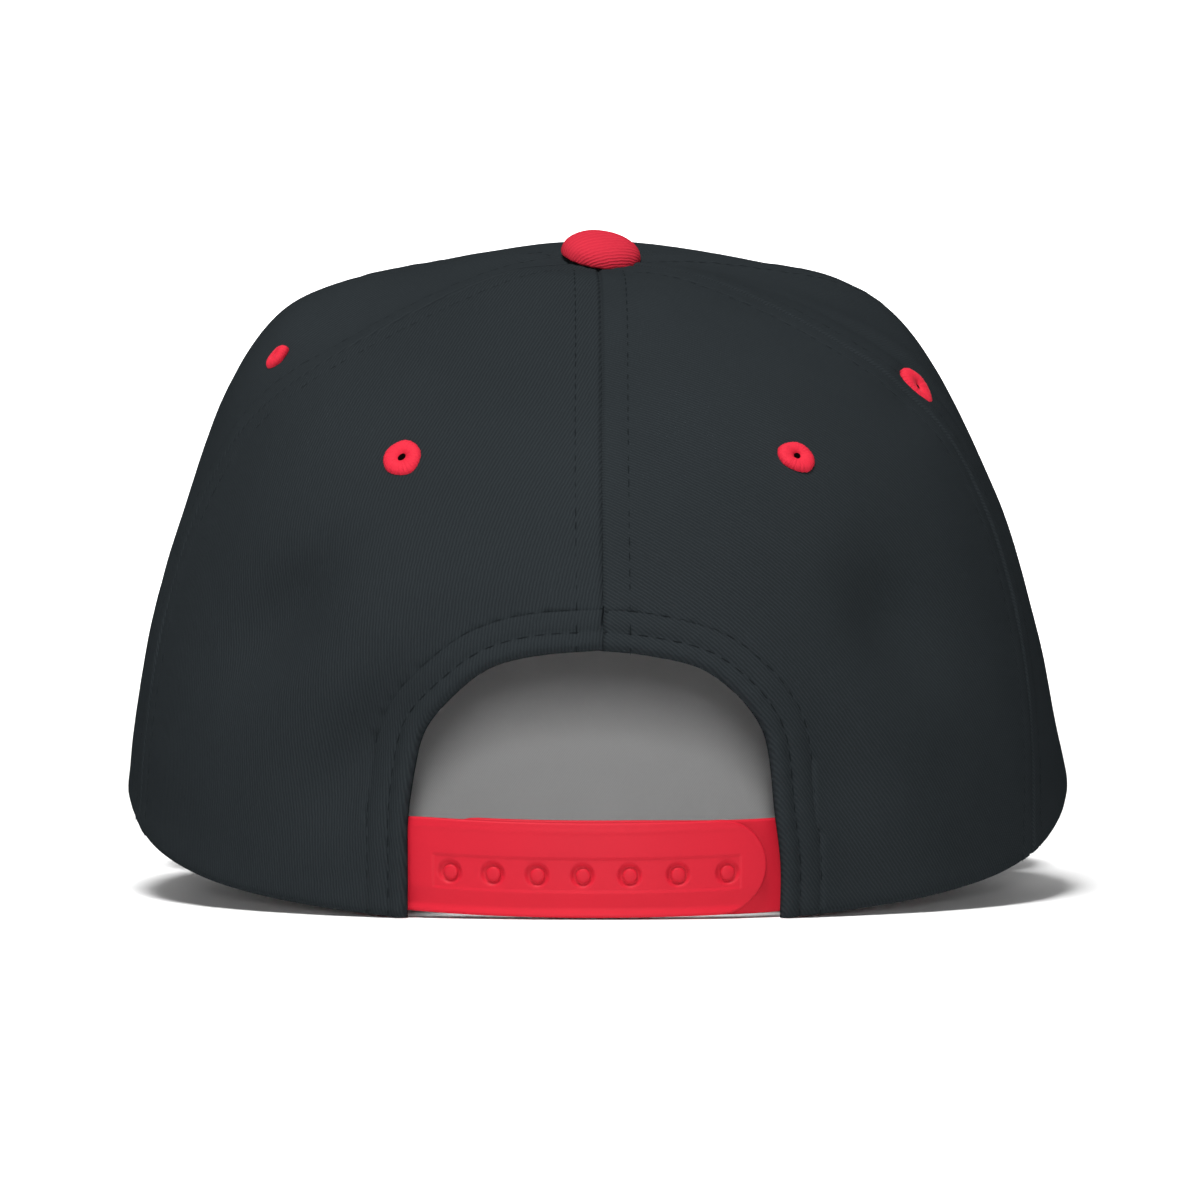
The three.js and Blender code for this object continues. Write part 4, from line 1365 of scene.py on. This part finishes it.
# Strap
POSTS = [FIRST_POST + POST_SPACING * i + POST_SPACING_GAIN * i * (i - 1) / 2 for i in range(POST_COUNT)]
OUTER_DEPTH = WALL + SEAT_GAP
INNER_DEPTH = OUTER_DEPTH + STRAP_THICKNESS + SEAT_GAP
SNAP_HEIGHT = STRAP_HEIGHT / 2 - SNAP_DROP
STRAP_ROUND_DEPTH = 0.42
STRAP_ROUND_WIDTH = 0.5
INNER_LIFT = 0.3
INNER_FALL = 0.65
INNER_FALL_START = 5
INNER_FALL_LENGTH = 25
CHANNEL_HALF_WIDTH = 3.05
CHANNEL_DEPTH = 0.16
CHANNEL_PAST_FIRST = 3.0
CHANNEL_PAST_LAST = 2.4
LOWER_HALF_LEAN = 0.4
UPPER_EDGE_BEAD = {"height": 0.06, "middle": 1.6, "width": 0.5}
SNAP_RING_DEPTH = 0.55
SNAP_RING_START = 1.65
SNAP_RING_SLOPE = 0.6
POST_RADII = [0, 0.7, 1.05, 1.25, 1.33, 1.35, 1.25]
POST_RISES = [-0.16, -0.18, -0.24, -0.36, -0.55, -1.5, -2.0]
POST_SPOKES = 28
POST_SIDE_SHIFT = 0.08
POST_DROP = 0.12


def strap_place(x, height, depth):
    """Turn and level where the strap, at its depth inside the crown, is at x."""
    turn = np.degrees(np.arcsin(x / CROWN_HALF_LENGTH))
    for _ in range(5):
        level = level_above(turn, height)
        point = crown_offset(turn, level, -depth)
        turn = turn + np.degrees((x - point[..., 0]) / CROWN_HALF_LENGTH / np.cos(np.radians(turn)))
    return turn, level_above(turn, height)


def strap_mesh(name, ends, lift_at, depth_at, relief_at, columns, rows):
    """Strap half from its square end to its round end, with soft edges and its own relief."""
    square_end, round_end = ends
    across = STRAP_HEIGHT * edge_dense(rows, 1.35)[::-1]
    share = edge_dense(columns, 1.2)
    radius = STRAP_HEIGHT * 0.5
    sign = 1 if round_end > square_end else -1
    centre = round_end - sign * radius
    height = np.broadcast_to(across[:, None], (rows, columns))
    from_middle = height - STRAP_HEIGHT / 2
    bulge = radius - np.sqrt(np.maximum(radius**2 - from_middle**2, 0))
    end = round_end - sign * bulge
    x = square_end + (end - square_end) * share[None, :]
    to_side = np.minimum(height, STRAP_HEIGHT - height)
    to_round = radius - np.hypot(np.abs(centre - x), from_middle)
    to_edge = np.where(sign * (x - centre) > 0, np.maximum(to_round, 0), to_side)
    rounding = rounded(to_edge, STRAP_ROUND_DEPTH, STRAP_ROUND_WIDTH)
    depth = depth_at(x)
    turn, level = strap_place(x, height + lift_at(x), depth)
    outer = crown_offset(turn, level, -depth - rounding + relief_at(x, height))
    inner = crown_offset(turn, level, -depth - STRAP_THICKNESS + rounding)
    patterns = np.stack([x, height], -1)
    if sign < 0:
        outer = outer[:, ::-1]
        inner = inner[:, ::-1]
        patterns = patterns[:, ::-1]
    return shell(name, outer, inner, patterns)


def snap_relief(x, height):
    """Shallow channel and, in it, the chamfered hole of each snap, over a lower half that leans in."""
    ends = np.minimum(x - POSTS[0] + CHANNEL_PAST_FIRST, POSTS[-1] + CHANNEL_PAST_LAST - x)
    into_channel = np.minimum(CHANNEL_HALF_WIDTH - np.abs(height - SNAP_HEIGHT), ends)
    relief = -CHANNEL_DEPTH * smooth(into_channel / 0.2)
    channel_foot = SNAP_HEIGHT - CHANNEL_HALF_WIDTH
    lower = np.clip((channel_foot - height) / (channel_foot - 1.2), 0, 1)
    relief = relief - LOWER_HALF_LEAN * lower * smooth((height - 0.3) / 1.5)
    relief = relief + ridge(STRAP_HEIGHT - height, **UPPER_EDGE_BEAD)
    for post in POSTS:
        away = np.hypot(x - post, height - SNAP_HEIGHT)
        relief = relief - SNAP_RING_DEPTH * (1 - smooth((away - SNAP_RING_START) / SNAP_RING_SLOPE))
    return relief


def no_relief(x, height):
    """Plain face of the inner half."""
    return np.zeros_like(x)


def outer_depth(x):
    """Depth of the outer half below the crown's outer face."""
    return np.full_like(x, OUTER_DEPTH)


def outer_lift(x):
    """Height of the outer half's lower edge above the rim."""
    return np.full_like(x, STRAP_LIFT)


def inner_depth(x):
    """Depth of the inner half, which comes out to the cloth past the end of the outer one."""
    share = smooth((x - OUTER_STRAP_END - 1) / (RIGHT_TUCK - OUTER_STRAP_END - 1))
    return INNER_DEPTH + (OUTER_DEPTH - INNER_DEPTH) * share


def inner_lift(x):
    """Height of the inner half's lower edge above the rim, which falls towards its tucked end."""
    return STRAP_LIFT + INNER_LIFT - INNER_FALL * smooth((x - INNER_FALL_START) / INNER_FALL_LENGTH)


def post_mesh(number, x):
    """Post of a snap: a pin with a softly domed head, standing on the inner strap half."""
    height = STRAP_LIFT + SNAP_HEIGHT - POST_DROP
    turn, level = strap_place(np.array([x + POST_SIDE_SHIFT]), np.array([height]), OUTER_DEPTH)
    centre = crown_point(turn, level)[0]
    outward = crown_normal(turn, level)[0]
    side = unit(np.cross([0, 0, 1.0], outward))
    up = np.cross(outward, side)
    angle = np.linspace(0, 2 * math.pi, POST_SPOKES, endpoint=False)
    ring = np.cos(angle)[:, None] * side + np.sin(angle)[:, None] * up
    points = [centre + outward * (POST_RISES[0] - OUTER_DEPTH)]
    for radius, rise in zip(POST_RADII[1:], POST_RISES[1:]):
        points.extend(centre + ring * radius + outward * (rise - OUTER_DEPTH))
    faces = [[0, 1 + i, 1 + (i + 1) % POST_SPOKES] for i in range(POST_SPOKES)]
    faces += ring_faces(len(POST_RADII) - 1, POST_SPOKES, 1, turned=True)
    faces.append(list(range(len(points) - POST_SPOKES, len(points)))[::-1])
    return add_mesh(f"post_{number}", np.array(points), faces, np.zeros((len(points), 2)))


outer_ends = (LEFT_TUCK, OUTER_STRAP_END)
outer_strap = strap_mesh("strap_outer_plastic", outer_ends, outer_lift, outer_depth, snap_relief, 330, 78)
finish_piece(outer_strap, "strap_outer", STRAP_PLASTIC)
inner_ends = (RIGHT_TUCK, INNER_STRAP_END)
inner_strap = strap_mesh("strap_inner_plastic", inner_ends, inner_lift, inner_depth, no_relief, 200, 50)
posts = [post_mesh(number, x) for number, x in enumerate(POSTS)]
inner_strap = joined("strap_inner_plastic", [inner_strap, *posts])
finish_piece(inner_strap, "strap_inner", STRAP_PLASTIC)


# Visor
EDGE_START = TEMPLE_FORWARD + VISOR_START
EDGE_LENGTH = CROWN_HALF_LENGTH + VISOR_REACH - EDGE_START
STITCH_ROWS = range(1, 8)
ROW_SPACING = 6.2
FIRST_ROW_SHIFT = 0.5
STITCH_LIFT = 0.06
ROW_END_ROOM = 3
COVER_LIFT = 0.15
VISOR_ROUND_DEPTH = 1.55
VISOR_ROUND_WIDTH = 1.7
VISOR_WAVES = 0.12


def visor_turn_span():
    """Degrees from the front to where the visor starts at each temple."""
    low = 90.0
    high = 180.0
    for _ in range(40):
        middle = (low + high) / 2
        if -plan_radius(middle) * math.cos(math.radians(middle)) < EDGE_START:
            low = middle
        else:
            high = middle
    return 180 - (low + high) / 2


VISOR_SPAN = visor_turn_span()


def visor_lines(side):
    """Inner and outer ends of the visor's lines, for shares from -1 at the left to 1 at the right."""
    past = 180 - VISOR_SPAN * side
    turn = (past + 180) % 360 - 180
    clear = crown_normal(turn, np.ones_like(turn))
    clear[..., 2] = 0
    inner = (crown_point(turn, np.ones_like(turn)) + unit(clear) * SEAT_GAP)[..., :2]
    angle = math.pi / 2 * side
    x = VISOR_HALF_WIDTH * np.sign(side) * np.abs(np.sin(angle)) ** (2 / VISOR_POWER)
    y = EDGE_START + EDGE_LENGTH * np.abs(np.cos(angle)) ** (2 / VISOR_POWER)
    into = np.maximum(0, (np.abs(side) - VISOR_CORNER_START) / (1 - VISOR_CORNER_START))
    corner = VISOR_CORNER_WIDTH + (1 - VISOR_CORNER_WIDTH) * np.sqrt(np.maximum(0, 1 - into**2))
    edge = np.stack([x, y], -1)
    return inner, inner + (edge - inner) * corner[..., None]


def visor_points(plan):
    """Points of the visor's middle surface over places in plan."""
    return np.concatenate([plan, visor_surface(plan[..., 0], plan[..., 1])[..., None]], -1)


def visor_waves(points):
    """Faint unevenness of the visor's cloth, in millimetres."""
    return VISOR_WAVES * soft_noise(points, 90, 34)


def row_reach(row):
    """Distance of a row of stitches from the visor's edge."""
    return row * ROW_SPACING + FIRST_ROW_SHIFT


def visor_mesh(name, upper):
    """One half of the visor, its cloth drawn round the outer edge."""
    side = np.sin(np.radians(np.linspace(90, -90, 190)))
    inner, edge = visor_lines(side)
    near_edge = 1 - np.array([0.055, 0.04, 0.028, 0.018, 0.01, 0.004, 0])
    out = np.concatenate([[0, 0.006, 0.02], np.linspace(0.04, 0.93, 42), near_edge])
    plan = inner[None] + (edge - inner)[None] * out[:, None, None]
    width = np.linalg.norm(edge - inner, axis=-1)[None, :]
    to_edge = (1 - out)[:, None] * width
    rounding = rounded(to_edge, VISOR_ROUND_DEPTH, VISOR_ROUND_WIDTH)
    points = visor_points(plan)
    grooves = sum(ridge(to_edge, -0.12, row_reach(row), 0.5) for row in STITCH_ROWS)
    thick = VISOR_PLATE + SEAT_GAP / 2
    if upper:
        high = thick + COVER_LIFT - rounding + grooves + visor_waves(points)
        low = np.full_like(high, 0.06)
    else:
        high = np.full_like(rounding, -0.06)
        low = -thick + rounding * 0.95 - grooves * 0.8
    high = np.maximum(high, low + 0.02)
    up = np.array([0, 0, 1.0])
    return shell(name, points + high[..., None] * up, points + low[..., None] * up, plan)


def visor_rows():
    """Rows of stitches along the visor's edge, each as long as the visor is wide enough for it."""
    paths = []
    side = np.sin(np.radians(np.linspace(88, -88, 260)))
    inner, edge = visor_lines(side)
    width = np.linalg.norm(edge - inner, axis=-1)
    for row in STITCH_ROWS:
        room = width > row_reach(row) + ROW_END_ROOM
        if room.sum() < 12:
            continue
        line = visor_points(edge[room] + (inner[room] - edge[room]) * (row_reach(row) / width[room])[:, None])
        line[:, 2] += VISOR_PLATE + SEAT_GAP / 2 + STITCH_LIFT + visor_waves(line)
        paths.append((line, np.tile([0, 0, 1.0], (len(line), 1))))
    return paths


visor_cover = visor_mesh("visor_cover_cloth", True)
finish_piece(visor_cover, "visor_cover", VISOR_CLOTH)
visor_underside = visor_mesh("visor_underside_cloth", False)
finish_piece(visor_underside, "visor_underside", UNDERVISOR_CLOTH)
stitched("visor_topstitching", visor_rows(), "visor_twill", VISOR_THREAD, Step=3.1, Length=2.3)


# Camera at the photograph's angle, placed in the cap's own frame
CAMERA_PLACE = np.array([0.57, -1269.35, 267.5])
CAMERA_PITCH = math.radians(-10.145) + REST_TILT
CAMERA_LENS = 205.76


def make_camera():
    """Camera behind the cap, low over the floor."""
    data = bpy.data.cameras.new("camera")
    data.sensor_width = 36
    data.lens = CAMERA_LENS
    data.clip_start = 0.05
    data.clip_end = 30
    camera = add_object("camera", data)
    camera.location = Vector(to_rest(CAMERA_PLACE))
    camera.rotation_euler = (math.pi / 2 + CAMERA_PITCH, 0, 0)
    bpy.context.scene.camera = camera


# Floor and lights, in metres
FLOOR_FRONT = -6.0
FLOOR_HALF_WIDTH = 6.0
BEND_START = 3.0
BEND_RADIUS = 1.5
BEND_STEPS = 16
BACKDROP_TOP = 4.0
FLOOR_PAINT = (0.88, 0.88, 0.88, 1)


def make_floor():
    """Pale floor that rises into a backdrop far behind the cap."""
    profile = [(FLOOR_FRONT, 0.0), (BEND_START, 0.0)]
    for step in range(1, BEND_STEPS + 1):
        angle = math.pi / 2 * step / BEND_STEPS
        profile.append((BEND_START + BEND_RADIUS * math.sin(angle), BEND_RADIUS * (1 - math.cos(angle))))
    profile.append((BEND_START + BEND_RADIUS, BACKDROP_TOP))
    points = [(x, y, z) for x in (-FLOOR_HALF_WIDTH, FLOOR_HALF_WIDTH) for y, z in profile]
    count = len(profile)
    faces = [[i, i + 1, count + i + 1, count + i][::-1] for i in range(count - 1)]
    floor = add_piece("floor", points, faces)
    floor.data.shade_smooth()
    material, _, shader = material_tree("pale_floor")
    shader.inputs["Base Color"].default_value = FLOOR_PAINT
    shader.inputs["Roughness"].default_value = 0.9
    floor.data.materials.append(material)


def add_light(name, place, aim, size, power):
    """Soft panel of light at a place, turned to face its aim."""
    data = bpy.data.lights.new(name, "AREA")
    data.shape = "RECTANGLE"
    data.size, data.size_y = size
    data.energy = power
    light = add_object(name, data)
    light.location = place
    direction = Vector(aim) - Vector(place)
    light.rotation_euler = direction.to_track_quat("-Z", "Y").to_euler()


def make_light():
    """Even room light, a small lamp over the camera, a key light high up and one for the backdrop."""
    world = bpy.data.worlds.new("studio")
    bpy.context.scene.world = world
    world.use_nodes = True
    world.node_tree.nodes["Background"].inputs["Color"].default_value = (1, 1, 1, 1)
    world.node_tree.nodes["Background"].inputs["Strength"].default_value = 0.12
    add_light("front", (0, -1.34, 0.152), (0, -0.05, 0.05), (0.02, 0.09), 6)
    add_light("key", (-0.22, -0.75, 1.6), (0, -0.05, 0.06), (0.6, 0.6), 42)
    add_light("backdrop", (0, 1.7, 2.4), (0, 4.0, 0.5), (4.0, 1.2), 230)


make_camera()
make_floor()
make_light()
bpy.context.scene.view_settings.view_transform = "Standard"
